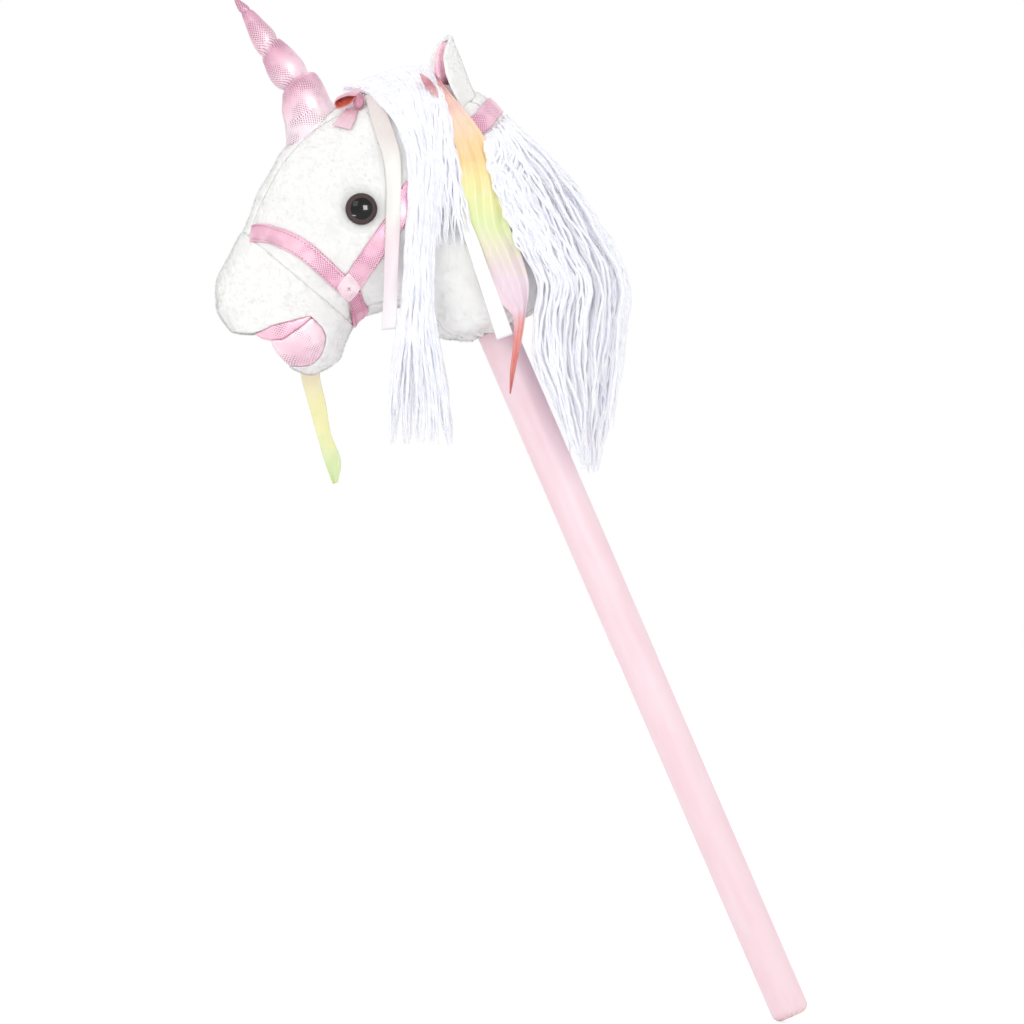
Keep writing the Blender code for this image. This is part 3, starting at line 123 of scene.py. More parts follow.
def finish_piece(obj, materials, replaces=(), body="horse"):
    """Gives a piece its materials, the nodes that it stands for, and the body it rides on."""
    for material in materials if isinstance(materials, (list, tuple)) else [materials]:
        obj.data.materials.append(material)
    if replaces:
        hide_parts(*replaces)
    if body:
        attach(obj, body)
    print(obj.name, "points:", len(obj.data.vertices))
    return obj


# %% Walls and closed pieces
def wall(outer, inner, wrap=False, at=None):
    """A closed wall between two grids of the same size: points, faces and their UVs.

    The rim joins the two grids all round. UVs come from the grid `at`, in metres.
    """
    rows, columns = outer.shape[:2]
    quads, corner = grid_faces(rows, columns, wrap)
    count = rows * columns
    ring = [np.arange(columns), (rows - 1) * columns + np.arange(columns)[::-1]]
    if not wrap:
        right = np.arange(1, rows - 1) * columns + columns - 1
        left = np.arange(1, rows - 1)[::-1] * columns
        ring = [np.concatenate([ring[0], right, ring[1], left])]
    rim = np.concatenate([np.stack([np.roll(r, -1), r, r + count, np.roll(r, -1) + count],
                                   axis=1) for r in ring])
    faces = np.concatenate([quads, quads[:, ::-1] + count, rim])
    if at is None:
        at = np.zeros((rows, columns + wrap, 2))
    spot = at[corner[..., 0], corner[..., 1]]
    flat = at[:, :columns].reshape(-1, 2)
    uv = np.concatenate([spot, spot[:, ::-1], flat[rim % count]])
    return np.concatenate([outer.reshape(-1, 3), inner.reshape(-1, 3)]), faces, uv


def outward(obj):
    """Turns the faces of a closed piece outwards, once points that coincide are one."""
    work = bmesh.new()
    work.from_mesh(obj.data)
    bmesh.ops.remove_doubles(work, verts=work.verts, dist=1e-6)
    bmesh.ops.recalc_face_normals(work, faces=work.faces)
    work.to_mesh(obj.data)
    work.free()
    obj.data.shade_smooth()
    return obj


def closed_mesh(name, points, faces, uv=None, groups=None):
    """A closed piece given in the pole's frame: leaned, with its faces turned outwards."""
    return outward(add_mesh(name, leaned(points), faces, uv, groups=groups))


# %% [markdown]
# ## The plush surface
#
# The head is a stuffed bag of plush. It could be sculpted, but then nothing could be laid on it
# exactly. So it is a row of cross-sections, each a squared ellipse from crown to throat. A
# Catmull-Rom curve through the rows gives a section anywhere, and a place on the plush is two
# numbers: the section, and the angle round it from the crest.

# %% The sections of the head, as crown x and z, throat x and z, and half width, in metres
HEAD_SECTIONS = (
    (-0.1771, 0.1506, -0.1771, 0.1506, 0.0000),
    (-0.1831, 0.1642, -0.1669, 0.1406, 0.0240),
    (-0.1897, 0.1764, -0.1583, 0.1310, 0.0360),
    (-0.1933, 0.1916, -0.1452, 0.1181, 0.0420),
    (-0.1895, 0.2044, -0.1237, 0.1207, 0.0450),
    (-0.1818, 0.2163, -0.1144, 0.1285, 0.0460),
    (-0.1678, 0.2290, -0.1063, 0.1353, 0.0460),
    (-0.1503, 0.2418, -0.0997, 0.1409, 0.0450),
    (-0.1394, 0.2533, -0.0941, 0.1440, 0.0470),
    (-0.1281, 0.2637, -0.0887, 0.1446, 0.0500),
    (-0.1097, 0.2787, -0.0801, 0.1430, 0.0530),
    (-0.0891, 0.2910, -0.0707, 0.1411, 0.0550),
    (-0.0613, 0.3002, -0.0623, 0.1387, 0.0550),
    (-0.0331, 0.3025, -0.0560, 0.1339, 0.0540),
    (-0.0002, 0.3001, -0.0514, 0.1268, 0.0520),
    (0.0302, 0.2916, -0.0485, 0.1196, 0.0500),
    (0.0532, 0.2761, -0.0462, 0.1152, 0.0480),
    (0.0690, 0.2557, -0.0450, 0.1121, 0.0470),
    (0.0743, 0.2228, -0.0443, 0.1097, 0.0470),
    (0.0740, 0.1847, -0.0437, 0.1073, 0.0470),
    (0.0678, 0.1449, -0.0414, 0.1046, 0.0460),
    (0.0583, 0.1150, -0.0376, 0.1017, 0.0450),
    (0.0486, 0.1005, -0.0320, 0.0988, 0.0400),
    (0.0365, 0.0960, -0.0286, 0.0965, 0.0300),  # the hem gathers in
    (0.0193, 0.0930, -0.0193, 0.0930, 0.0193),  # and closes on the pole's liner
)

# %% A smooth surface through the sections
ROWS = np.array(HEAD_SECTIONS)
LAST_ROW = len(ROWS) - 1
NOSE_SEAM = 7.0
SQUARENESS = 0.90
GUSSET = math.radians(24.0)  # half of the strip let in along the crest and the throat
SKIN = 2.5 * MM


def smooth_rows(rows, where, which=None):
    """A Catmull-Rom curve through the rows: each step is the cubic of its four nearest rows.

    Where a row holds the points of many curves, `which` says whose point is asked for.
    """
    rows = np.asarray(rows, float)
    padded = np.concatenate([2 * rows[:1] - rows[1:2], rows, 2 * rows[-1:] - rows[-2:-1]])
    where = np.clip(np.asarray(where, float), 0, len(rows) - 1)
    step = np.minimum(where.astype(int), len(rows) - 2)
    part = (where - step)[..., None]
    a, b, c, d = (padded[step + shift] if which is None else padded[step + shift, which]
                  for shift in range(4))
    return b + 0.5 * part * (
        c - a + part * (2 * a - 5 * b + 4 * c - d + part * (3 * (b - c) + d - a)))


def section(where):
    """The middle of a section, half the way from its throat to its crown, and its half width."""
    rows = smooth_rows(ROWS, where)
    crown, throat = rows[..., 0:2], rows[..., 2:4]
    return (crown + throat) / 2, (crown - throat) / 2, rows[..., 4]


def powered(values, power):
    return np.sign(values) * np.abs(values) ** power


# %% Points on the plush and above it
def skin_point(where, angle):
    """Middle + half way * cos^0.9, and half width * sin^0.9 to the side, signs kept."""
    middle, half, width = section(where)
    flat = middle + half * powered(np.cos(angle), SQUARENESS)[..., None]
    return np.stack([flat[..., 0], -width * powered(np.sin(angle), SQUARENESS), flat[..., 1]], -1)


def skin_normal(where, angle):
    """The cross product of two short steps on the surface, turned to face outwards."""
    where = np.clip(np.asarray(where, float), 0.02, LAST_ROW - 0.002)
    along = skin_point(where + 0.02, angle) - skin_point(where - 0.02, angle)
    nudge = math.radians(1.5)
    around = skin_point(where, angle + nudge) - skin_point(where, angle - nudge)
    normal = unit(np.cross(around, along))
    middle = section(where)[0]
    inside = np.stack([middle[..., 0], 0 * middle[..., 0], middle[..., 1]], axis=-1)
    out = ((skin_point(where, angle) - inside) * normal).sum(axis=-1, keepdims=True)
    return normal * np.where(out < 0, -1.0, 1.0)


def skin(where, angle, lift=0.0):
    """Points at a height above the plush, along its normal."""
    where, angle = np.broadcast_arrays(np.asarray(where, float), np.asarray(angle, float))
    return skin_point(where, angle) + skin_normal(where, angle) * np.asarray(lift)[..., None]


# %% [markdown]
# Straps, ribbons and yarn are known by where the photograph shows them from the side. So the
# way back is needed as well: from a side view (x, z) to the section through it.


# %% From the side view back to the surface
STATIONS = np.linspace(0.05, LAST_ROW, 420)
STATION_MIDDLE, STATION_HALF, _ = section(STATIONS)


def find_section(x, z):
    """The section whose line from throat to crown passes through (x, z), and how far up it."""
    offset = np.stack([x, z], axis=-1)[..., None, :] - STATION_MIDDLE
    side = STATION_HALF[:, 0] * offset[..., 1] - STATION_HALF[:, 1] * offset[..., 0]
    share = (offset * STATION_HALF).sum(-1) / np.maximum((STATION_HALF**2).sum(-1), 1e-12)
    crossing = np.sign(side[..., 1:]) != np.sign(side[..., :-1])
    nearest = np.where(crossing, np.abs(share[..., 1:]), 99.0).argmin(axis=-1)
    first = np.take_along_axis(side, nearest[..., None], -1)[..., 0]
    second = np.take_along_axis(side, nearest[..., None] + 1, -1)[..., 0]
    part = first / np.where(first == second, 1.0, first - second)
    found = STATIONS[nearest] + part * (STATIONS[1] - STATIONS[0])
    middle, half, _ = section(found)
    offset = np.stack([x, z], axis=-1) - middle
    share = (offset * half).sum(-1) / np.maximum((half**2).sum(-1), 1e-12)
    return found, np.where(crossing.any(axis=-1), share, 9.0)


# %% Half width and angle where the side view shows a place
def half_width_at(x, z, grow=0.0):
    """Half width of the head, grown all round, where the side view shows (x, z); 0 outside."""
    where, share = find_section(np.asarray(x, float), np.asarray(z, float))
    _, half, width = section(where)
    height = np.linalg.norm(half, axis=-1)
    share = np.minimum(np.abs(share) * height / (height + grow), 1.0)
    power = 2 / SQUARENESS
    return (width + grow) * np.maximum(1 - share**power, 0) ** (1 / power)


def side_angle(x, z):
    """Section and angle of the left side's surface, where the side view shows (x, z)."""
    where, share = find_section(np.asarray(x, float), np.asarray(z, float))
    return where, np.arccos(powered(np.clip(share, -1, 1), 1 / SQUARENESS))


print("widest half width, mm:", round(float(ROWS[:, 4].max() / MM), 1))

# %% [markdown]
# ## Materials
#
# A material is a small tree of nodes. One helper adds a node with its settings and links, so
# that each material below reads as a list of what the real one is made of. The scale of a
# pattern is one over its size in metres. Colours are given as on a screen and turned to the
# linear values that light adds up in.


# %% Colours and the add-node helper
def linear(code):
    """An sRGB hex colour as linear red, green, blue and alpha."""
    level = np.array([int(code[i:i + 2], 16) for i in (1, 3, 5)]) / 255
    level = np.where(level <= 0.04045, level / 12.92, ((level + 0.055) / 1.055) ** 2.4)
    return (*map(float, level), 1.0)


def feed(node, inputs):
    """Fills a node's inputs, by name or number: a value is set, and a socket is linked."""
    for key, value in inputs.items():
        if isinstance(value, bpy.types.NodeSocket):
            node.id_data.links.new(value, node.inputs[key])
        else:
            node.inputs[key].default_value = value


def add_node(tree, kind, inputs=None, out=0, stops=(), **settings):
    """Adds one node and returns the output asked for; stops are a ramp's (place, colour)."""
    node = tree.nodes.new("ShaderNode" + kind)
    for key, value in settings.items():
        setattr(node, key, value)
    feed(node, inputs or {})
    for _ in stops[2:]:
        node.color_ramp.elements.new(0.5)
    for number, (position, code) in enumerate(stops):
        element = node.color_ramp.elements[number]
        element.position, element.color = position, linear(code)
    return node.outputs[out]


def new_material(name, values):
    """A material, its shader with the even values set, and add_node for its own tree."""
    material = bpy.data.materials.new(name)
    material.use_nodes = True
    shader = material.node_tree.nodes["Principled BSDF"]
    feed(shader, values)
    print("material:", name)
    return material, shader, functools.partial(add_node, material.node_tree)


# %% [markdown]
# ### Plush, filling, cotton and thread
#
# Plush is knitted polyester with a cut pile. Its fibres lean one way and another in patches
# about 14 mm wide, which shows as faint shading, and each fibre end catches light at the edge,
# which is sheen. The fibres themselves are drawn as geometry, so the bump is only fine grain.


# %% Plush
def plush_material(name, light, shade):
    material, shader, add = new_material(
        name, {"Roughness": 0.92, "Sheen Weight": 0.30, "Sheen Roughness": 0.45})
    place = add("TexCoord", out="Object")
    patches = add("TexNoise", {"Vector": place, "Scale": 1 / (14 * MM)})
    grain = add("TexNoise", {"Vector": place, "Scale": 1 / (0.9 * MM)})
    colour = add("ValToRGB", {0: patches}, stops=((0.30, shade), (0.62, light)))
    tips = add("Math", {0: grain, 1: 0.35}, operation="MULTIPLY")
    relief = add("Math", {0: patches, 1: 0.8, 2: grain}, operation="MULTIPLY_ADD")
    feed(shader, {
        "Base Color": add("Mix", {0: tips, 6: colour, 7: linear(light)}, 2, data_type="RGBA"),
        "Normal": add("Bump", {"Height": relief, "Strength": 0.12, "Distance": 0.4 * MM})})
    return material


PLUSH = plush_material("minky_plush", "#FEFEFD", "#F9F9F7")

# %% Woven cloth, tape, cord and filling
WAVE_PERIOD = 0.314  # metres from wave to wave of the wave texture, where its scale is 1


def cloth_material(name, light, shade, thread):
    """Plain weave: two waves at right angles, one thread wide each, and soft uneven dye."""
    material, shader, add = new_material(name, {"Roughness": 0.85})
    place = add("TexCoord", out="Object")
    warp, weft = (add("TexWave", {"Vector": place, "Scale": WAVE_PERIOD / thread,
                                  "Distortion": 0.6, "Detail": 1.0}, "Fac",
                      bands_direction=way) for way in ("X", "Z"))
    weave = add("Math", {0: warp, 1: weft}, operation="MULTIPLY")
    dye = add("TexNoise", {"Vector": place, "Scale": 1 / (6 * MM), "Detail": 3.0})
    tone = add("Math", {0: weave, 1: 0.4, 2: dye}, operation="MULTIPLY_ADD")
    feed(shader, {
        "Base Color": add("ValToRGB", {0: tone}, stops=((0.35, shade), (0.85, light))),
        "Normal": add("Bump", {"Height": weave, "Strength": 0.4, "Distance": 0.3 * MM})})
    return material


CALICO = cloth_material("cotton_calico", "#DAD6CB", "#BDB7A9", 0.8 * MM)
TWILL = cloth_material("cotton_twill_tape", "#ECEBE6", "#D2D1CC", 1.0 * MM)
CORD = cloth_material("braided_polyester_cord", "#EDECE8", "#CFCDC8", 0.9 * MM)
HOLLOW_FIBRE = cloth_material("polyester_hollow_fibre", "#F4F4F4", "#DCDCDF", 2.5 * MM)


# %% Sewing thread
def thread_material(name, light, shade, ply_width=0.6 * MM):
    """Two-ply sewing thread: a slanting ply, drawn wider than a real one so that it shows."""
    material, shader, add = new_material(name, {"Roughness": 0.6, "Sheen Weight": 0.2})
    place = add("TexCoord", out="Object")
    ply = add("TexWave", {"Vector": place, "Scale": WAVE_PERIOD / ply_width}, "Fac",
              bands_direction="DIAGONAL")
    feed(shader, {
        "Base Color": add("ValToRGB", {0: ply}, stops=((0.2, shade), (0.8, light))),
        "Normal": add("Bump", {"Height": ply, "Strength": 0.3, "Distance": 0.1 * MM})})
    return material


PINK_THREAD = thread_material("polyester_thread_pink", "#C08CA6", "#96607C")
WHITE_THREAD = thread_material("polyester_thread_white", "#FBF6F8", "#E4D3DB")

# %% [markdown]
# ### Dotted foil cloth
#
# The horn, bridle, mouth and ears are a pink jersey with dots of metal foil pressed on it, in
# slanting rows 1.5 mm apart. Each sits in the middle of a square cell of the cloth's own UV map.
# Their dark colour is a painted reflection of the dark surroundings that metal foil mirrors, and
# they show only in random patches, so the dots come and go.


# %% Dots of foil, and the random patches where they show
def foil_dots(add, uv, place, dot_patch_level, pitch=1.5 * MM):
    """1 where dots show, 0 elsewhere: the middles of cells times random patches."""
    turned = add("Mapping", {"Vector": uv, "Rotation": (0, 0, math.radians(38)),
                             "Scale": (1 / pitch, 1 / pitch, 1)})
    cell = add("VectorMath", {0: turned}, operation="FRACTION")
    spread = add("VectorMath", {0: cell, 1: (0.5, 0.5, 0.0)}, "Value", operation="DISTANCE")
    middle = add("MapRange", {"Value": spread, "From Min": 0.34, "From Max": 0.24})
    patches = add("TexNoise", {"Vector": place, "Scale": 1 / (16 * MM)})
    left = add("MapRange", {"Value": patches, "From Min": dot_patch_level - 0.06, "From Max": dot_patch_level + 0.10})
    return add("Math", {0: middle, 1: left}, operation="MULTIPLY")


# %% Dotted foil
BAND_HEIGHT = 0.125  # how far up the horn, in metres, a band's share is 1


def foil_material(name, light, shade, dot_reflection_colour, dot_patch_level=0.52, deep=None, shade_bands=None):
    material, shader, add = new_material(
        name, {"Sheen Weight": 0.15, "Sheen Roughness": 0.3, "Coat Weight": 0.12,
               "Coat Roughness": 0.25})
    uv, place = add("UVMap", uv_map="weave"), add("TexCoord", out="Object")
    height = add("SeparateXYZ", {0: uv}, 1)
    dots = foil_dots(add, uv, place, dot_patch_level)
    tone = add("TexNoise", {"Vector": place, "Scale": 1 / (22 * MM), "Detail": 3.0})
    cloth = add("ValToRGB", {0: tone}, stops=((0.36, shade), (0.62, light)))
    if shade_bands:  # colours up the horn as (share, colour), with painted shade under each thread
        wander = add("Math", {0: tone, 1: 6 * MM, 2: -3 * MM}, operation="MULTIPLY_ADD")
        up = add("Math", {0: height, 1: wander}, operation="ADD")
        share = add("Math", {0: up, 1: BAND_HEIGHT}, operation="DIVIDE")
        shaded_band = add("ValToRGB", {0: share}, stops=shade_bands)
        cloth = add("Mix", {0: 0.78, 6: cloth, 7: shaded_band}, 2, data_type="RGBA")
    if deep:  # painted shade: a dark colour below a height of the UV map, where the piece lies in a hollow
        painted_shade_share = add("MapRange", {"Value": height, "From Min": 1.35 * deep[1],
                                  "From Max": 0.65 * deep[1]})
        cloth = add("Mix", {0: painted_shade_share, 6: cloth, 7: linear(deep[0])}, 2, data_type="RGBA")
    creases = add("TexNoise", {"Vector": place, "Scale": 1 / (7 * MM)})
    relief = add("Math", {0: dots, 1: 0.25, 2: creases}, operation="MULTIPLY_ADD")
    # The dots take a dark colour: a painted reflection of the dark surroundings that foil mirrors.
    feed(shader, {
        "Base Color": add("Mix", {0: dots, 6: cloth, 7: linear(dot_reflection_colour)}, 2, data_type="RGBA"),
        "Metallic": add("Math", {0: dots, 1: 0.45, 2: 0.12}, operation="MULTIPLY_ADD"),
        "Roughness": add("Math", {0: dots, 1: -0.14, 2: 0.44}, operation="MULTIPLY_ADD"),
        "Normal": add("Bump", {"Height": relief, "Strength": 0.30, "Distance": 0.7 * MM})})
    return material


# Colours up the horn, as (share, colour). The dark band just under each thread is painted shade in
# the fold there, and the pink deepens towards the tip.
HORN_BANDS_CREASE_SHADE = ((0.04, "#FFF6FA"), (0.16, "#FBE3EC"), (0.25, "#F3C6D6"), (0.325, "#DFA3BB"),
              (0.35, "#FBE3EC"), (0.44, "#F6D2DE"), (0.53, "#E2AAC0"), (0.585, "#D597B1"),
              (0.61, "#F8DBE5"), (0.72, "#EDBDCF"), (0.84, "#DA9FB7"), (0.98, "#CF8FA8"))
# Each foil's last colour is its dots' dark colour, a painted reflection.
FOIL = foil_material("dotted_foil_jersey", "#FBE0E9", "#F3C9DA", "#A0718B")
HORN_FOIL = foil_material("dotted_foil_horn", "#F8DCE6", "#E9B5CA", "#8A5F78", 0.46,
                          shade_bands=HORN_BANDS_CREASE_SHADE)
STRAP_FOIL = foil_material("dotted_foil_strap", "#F6C7D8", "#EBAAC5", "#96607F", 0.47)
# The roof of the mouth is a darker pink than the lip: painted shade inside the upper lip.
MOUTH_ROOF_SHADED_FOIL = foil_material("dotted_foil_mouth_roof_painted_shade", "#F8D0DE", "#F0B9CE", "#9A6480", 0.60)
PALE_FOIL = foil_material("pale_foil_patch", "#FDE8EF", "#F7CFDD", "#A87C94")
# A darker copy of the strap foil, for the chin strap under the jaw: painted shade.
PAINTED_SHADE_FOIL = foil_material("painted_shade_foil_chin_strap", "#E9A9C0", "#D98FAB", "#8E6278")
# The ear lining's dark maroon in its lowest 11 mm is painted shade deep in the ear.
EAR_FOIL_PAINTED_SHADE = foil_material("dotted_foil_ear_lining_painted_shade", "#F6CFDB", "#ECB2C7", "#A97E97",
                         deep=("#7A3448", 11 * MM))

# %% [markdown]
# ### Yarn
#
# The mane is acrylic yarn of two plies. Along a strand the UV map runs in plies: one unit of V
# is one full twist, 9 mm long, and U goes once round. Modelling both plies would double each
# strand's faces, so a sine of 2U + V draws them instead, with painted shade in the groove
# between. The yarn also gives off a faint light of its own: painted light that brightens the
# shade between strands.

# %% Two-ply yarn
YARN_TWIST = 9 * MM


def yarn_material(name, light, shade, groove):
    # The faint emission is painted light: a glow that brightens the shade between strands.
    material, shader, add = new_material(
        name, {"Roughness": 0.78, "Sheen Weight": 0.35, "Sheen Roughness": 0.4,
               "Emission Strength": 0.05, "Emission Color": linear("#EDEBFF")})
    uv, place = add("UVMap", uv_map="weave"), add("TexCoord", out="Object")
    u, v = (add("SeparateXYZ", {0: uv}, axis) for axis in (0, 1))
    turns = add("Math", {0: u, 1: 2.0, 2: v}, operation="MULTIPLY_ADD")
    plies, fibres = (add("Math", {0: turns, 1: count * math.pi}, operation="MULTIPLY")
                     for count in (2, 10))
    wave, hairs = (add("Math", {0: angle}, operation="SINE") for angle in (plies, fibres))
    ply = add("Math", {0: wave, 1: 0.5, 2: 0.5}, operation="MULTIPLY_ADD")
    painted_shade_share = add("Math", {0: 1.0, 1: ply}, operation="SUBTRACT")
    depth = add("Math", {0: painted_shade_share, 1: 3.0}, operation="POWER")
    dark = add("Math", {0: depth, 1: 0.5}, operation="MULTIPLY")
    patches = add("TexNoise", {"Vector": place, "Scale": 1 / (11 * MM), "Detail": 3.0})
    tone = add("ValToRGB", {0: patches}, stops=((0.34, shade), (0.58, light)))
    relief = add("Math", {0: hairs, 1: 0.12, 2: ply}, operation="MULTIPLY_ADD")
    # The groove colour, mixed in by the ply's depth, is painted shade between the plies.
    feed(shader, {
        "Base Color": add("Mix", {0: dark, 6: tone, 7: linear(groove)}, 2, data_type="RGBA"),
        "Normal": add("Bump", {"Height": relief, "Strength": 0.22, "Distance": 0.4 * MM})})
    return material


GLOWING_YARN = yarn_material("acrylic_two_ply_yarn_painted_glow", "#FEFEFF", "#F6F7FE", "#E6E8F6")

# %% [markdown]
# ### Ribbon
#
# Each ribbon is thin polyester satin, dyed in bands that run into each other down its length,
# so V of its UV map, from 0 at the top to 1 at the tip, picks the dye. Fine ribs cross it.


# %% Satin ribbon dyed down its length
def ribbon_material(name, dyes, length, alpha=1.0, rib=0.9 * MM):
    """Dye by the share down the ribbon, and ribs as a sine with so many turns in its length."""
    material, shader, add = new_material(
        name, {"Roughness": 0.42, "Sheen Weight": 0.25, "Sheen Roughness": 0.3, "Alpha": alpha,
               "Specular IOR Level": 0.4})
    uv, place = add("UVMap", uv_map="weave"), add("TexCoord", out="Object")
    down = add("SeparateXYZ", {0: uv}, 1)
    patches = add("TexNoise", {"Vector": place, "Scale": 1 / (14 * MM)})
    soft = add("Math", {0: patches, 1: 0.10, 2: -0.05}, operation="MULTIPLY_ADD")
    dyed = add("Math", {0: down, 1: soft}, operation="ADD")
    turns = add("Math", {0: down, 1: 2 * math.pi * length / rib}, operation="MULTIPLY")
    ribs = add("Math", {0: turns}, operation="SINE")
    # Streaks along the ribbon are mixed towards white: painted highlights on its soft folds.
    drawn = add("Mapping", {"Vector": place, "Scale": (1.0, 1.0, 0.12)})
    streak = add("TexNoise", {"Vector": drawn, "Scale": 1 / (2.2 * MM)})
    fold_highlight = add("MapRange", {"Value": streak, "From Min": 0.5, "From Max": 0.8,
                             "To Max": 0.25})
    relief = add("Math", {0: ribs, 1: 0.3, 2: streak}, operation="MULTIPLY_ADD")
    feed(shader, {
        "Base Color": add("Mix", {0: fold_highlight, 6: add("ValToRGB", {0: dyed}, stops=dyes),
                                  7: linear("#FFFFFF")}, 2, data_type="RGBA"),
        "Normal": add("Bump", {"Height": relief, "Strength": 0.25, "Distance": 0.3 * MM})})
    return material


# %% The ribbons' dyes, as (share down the ribbon, colour); some hold painted shade
# The cheek ribbon's beige top is painted shade where it lies under the yarn.
CHEEK_DYES_TOP_SHADE = ((0.0, "#F1E6E3"), (0.20, "#F3EAE6"), (0.33, "#FDFBF6"), (0.52, "#FDFAF6"),
              (0.64, "#FBEAF0"), (0.82, "#FBEFF4"), (1.0, "#FCF7FB"))
RAINBOW_DYES = ((0.0, "#EFA9AC"), (0.06, "#F5C4BE"), (0.13, "#FADCCB"), (0.20, "#FBDDB6"),
                (0.27, "#FBD79A"), (0.33, "#FAE9A4"), (0.40, "#F0F2AE"), (0.48, "#E5F0B4"),
                (0.54, "#ECEBC6"), (0.60, "#EFE0DA"), (0.65, "#F0DBE6"), (0.74, "#F1D6E3"),
                (0.78, "#F2BEC2"), (0.82, "#F0A39E"), (0.90, "#EB8D85"), (1.0, "#D97468"))
WHITE_DYES = ((0.0, "#FBFAF2"), (0.45, "#FDFCF6"), (0.78, "#F9F7FA"), (1.0, "#F3EEF6"))
FAR_DYES = ((0.0, "#F2DDE2"), (0.50, "#F6D9DD"), (0.64, "#F9E3DC"), (0.70, "#FBF3CE"),
            (0.77, "#FBF6B6"), (0.86, "#F6F5B2"), (0.93, "#E0EFB4"), (1.0, "#CDE598"))
TOP_FOLD_DYES = ((0.0, "#E3A9AF"), (0.5, "#C97F8B"), (1.0, "#EFBFBD"))
BOW_DYES = ((0.0, "#DDA0B2"), (0.4, "#EBBFCD"), (1.0, "#F0CDDA"))
# Inside the bow's loop: red satin, darker towards the pressed far end, which is painted shade.
BOW_INSIDE_DYES_AND_SHADE = ((0.0, "#E9A39B"), (0.25, "#DB6650"), (0.6, "#D95B45"), (1.0, "#B24A55"))
# The knot's deep pink is painted shade, where it sits between the loop and the yarn.
KNOT_SHADE_DYES = ((0.0, "#C88098"), (1.0, "#D99BAE"))
CHEEK_SATIN = ribbon_material("cream_organza_ribbon", CHEEK_DYES_TOP_SHADE, 0.17, 0.88)
RAINBOW_SATIN = ribbon_material("rainbow_satin_ribbon", RAINBOW_DYES, 0.27)
KNOT_SHADED_SATIN = ribbon_material("pink_satin_knot_painted_shade", KNOT_SHADE_DYES, 0.02)
TOP_FOLD_SATIN = ribbon_material("rose_satin_ribbon", TOP_FOLD_DYES, 0.02)
WHITE_SATIN = ribbon_material("white_satin_ribbon", WHITE_DYES, 0.065)
FAR_SATIN = ribbon_material("lime_satin_ribbon", FAR_DYES, 0.28)
BOW_SATIN = ribbon_material("pink_satin_ribbon", BOW_DYES, 0.03)
BOW_INSIDE_SHADED_SATIN = ribbon_material("red_satin_ribbon_shaded_deep", BOW_INSIDE_DYES_AND_SHADE, 0.03)

# %% [markdown]
# ### Hard pieces
#
# The pole is a beech dowel under a matt pink lacquer, which sinks a little into the long pores
# of the wood and is rubbed off round the foot. The eyes are turned acrylic with a polished
# face.


# %% Painted dowel
def lacquer_material():
    """Lacquer over long pores, with bare wood in the lowest few millimetres of V."""
    material, shader, add = new_material("pink_lacquered_beech",
                                         {"Coat Weight": 0.08, "Coat Roughness": 0.35})
    uv, place = add("UVMap", uv_map="weave"), add("TexCoord", out="Object")
    long_grain = add("Mapping", {"Vector": uv, "Scale": (1.0, 0.03, 1.0)})
    pores = add("TexNoise", {"Vector": long_grain, "Scale": 1 / (0.8 * MM), "Detail": 3.0})
    short_grain = add("Mapping", {"Vector": uv, "Scale": (1.0, 0.25, 1.0)})
    tone = add("TexNoise", {"Vector": short_grain, "Scale": 1 / (15 * MM)})
    paint = add("ValToRGB", {0: tone}, stops=((0.35, "#F8D7E0"), (0.65, "#FADFE7")))
    sunk = add("MapRange", {"Value": pores, "From Min": 0.36, "From Max": 0.28,
                            "To Max": 0.25})
    painted = add("Mix", {0: sunk, 6: paint, 7: linear("#E9B6C7")}, 2, data_type="RGBA")
    specks = add("TexNoise", {"Vector": place, "Scale": 1 / (2.5 * MM), "Detail": 3.0})
    spots = add("MapRange", {"Value": specks, "From Min": 0.52, "From Max": 0.60})
    low = add("MapRange", {"Value": add("SeparateXYZ", {0: uv}, 1), "From Min": 5 * MM,
                           "From Max": 1 * MM})
    bare = add("Math", {0: low, 1: spots}, operation="MULTIPLY")
    wood = linear("#D9BFA0")
    feed(shader, {
        "Base Color": add("Mix", {0: bare, 6: painted, 7: wood}, 2, data_type="RGBA"),
        "Roughness": add("Math", {0: tone, 1: 0.12, 2: 0.46}, operation="MULTIPLY_ADD"),
        "Normal": add("Bump", {"Height": pores, "Strength": 0.10, "Distance": 0.2 * MM})})
    return material


LACQUER = lacquer_material()


# %% Plywood, steel and moulded plastic
def grained_material(name, light, shade, size, roughness, stretch=(1.0, 1.0, 1.0), metal=0.0):
    """A solid with a stretched grain: plywood, moulded plastic or plated steel."""
    material, shader, add = new_material(name, {"Roughness": roughness, "Metallic": metal})
    place = add("Mapping", {"Vector": add("TexCoord", out="Object"), "Scale": stretch})
    grain = add("TexNoise", {"Vector": place, "Scale": 1 / size, "Detail": 4.0})
    feed(shader, {
        "Base Color": add("ValToRGB", {0: grain}, stops=((0.32, shade), (0.68, light))),
        "Normal": add("Bump", {"Height": grain, "Strength": 0.15, "Distance": 0.15 * MM})})
    return material


PLYWOOD = grained_material("birch_plywood", "#D8BC90", "#B8965F", 1.2 * MM, 0.7, (1, 0.1, 1))
ZINC = grained_material("zinc_plated_steel", "#B9BCC2", "#9497A0", 0.8 * MM, 0.34, metal=1.0)
NYLON = grained_material("moulded_polypropylene", "#E6E5E0", "#D4D2CC", 1.5 * MM, 0.5)


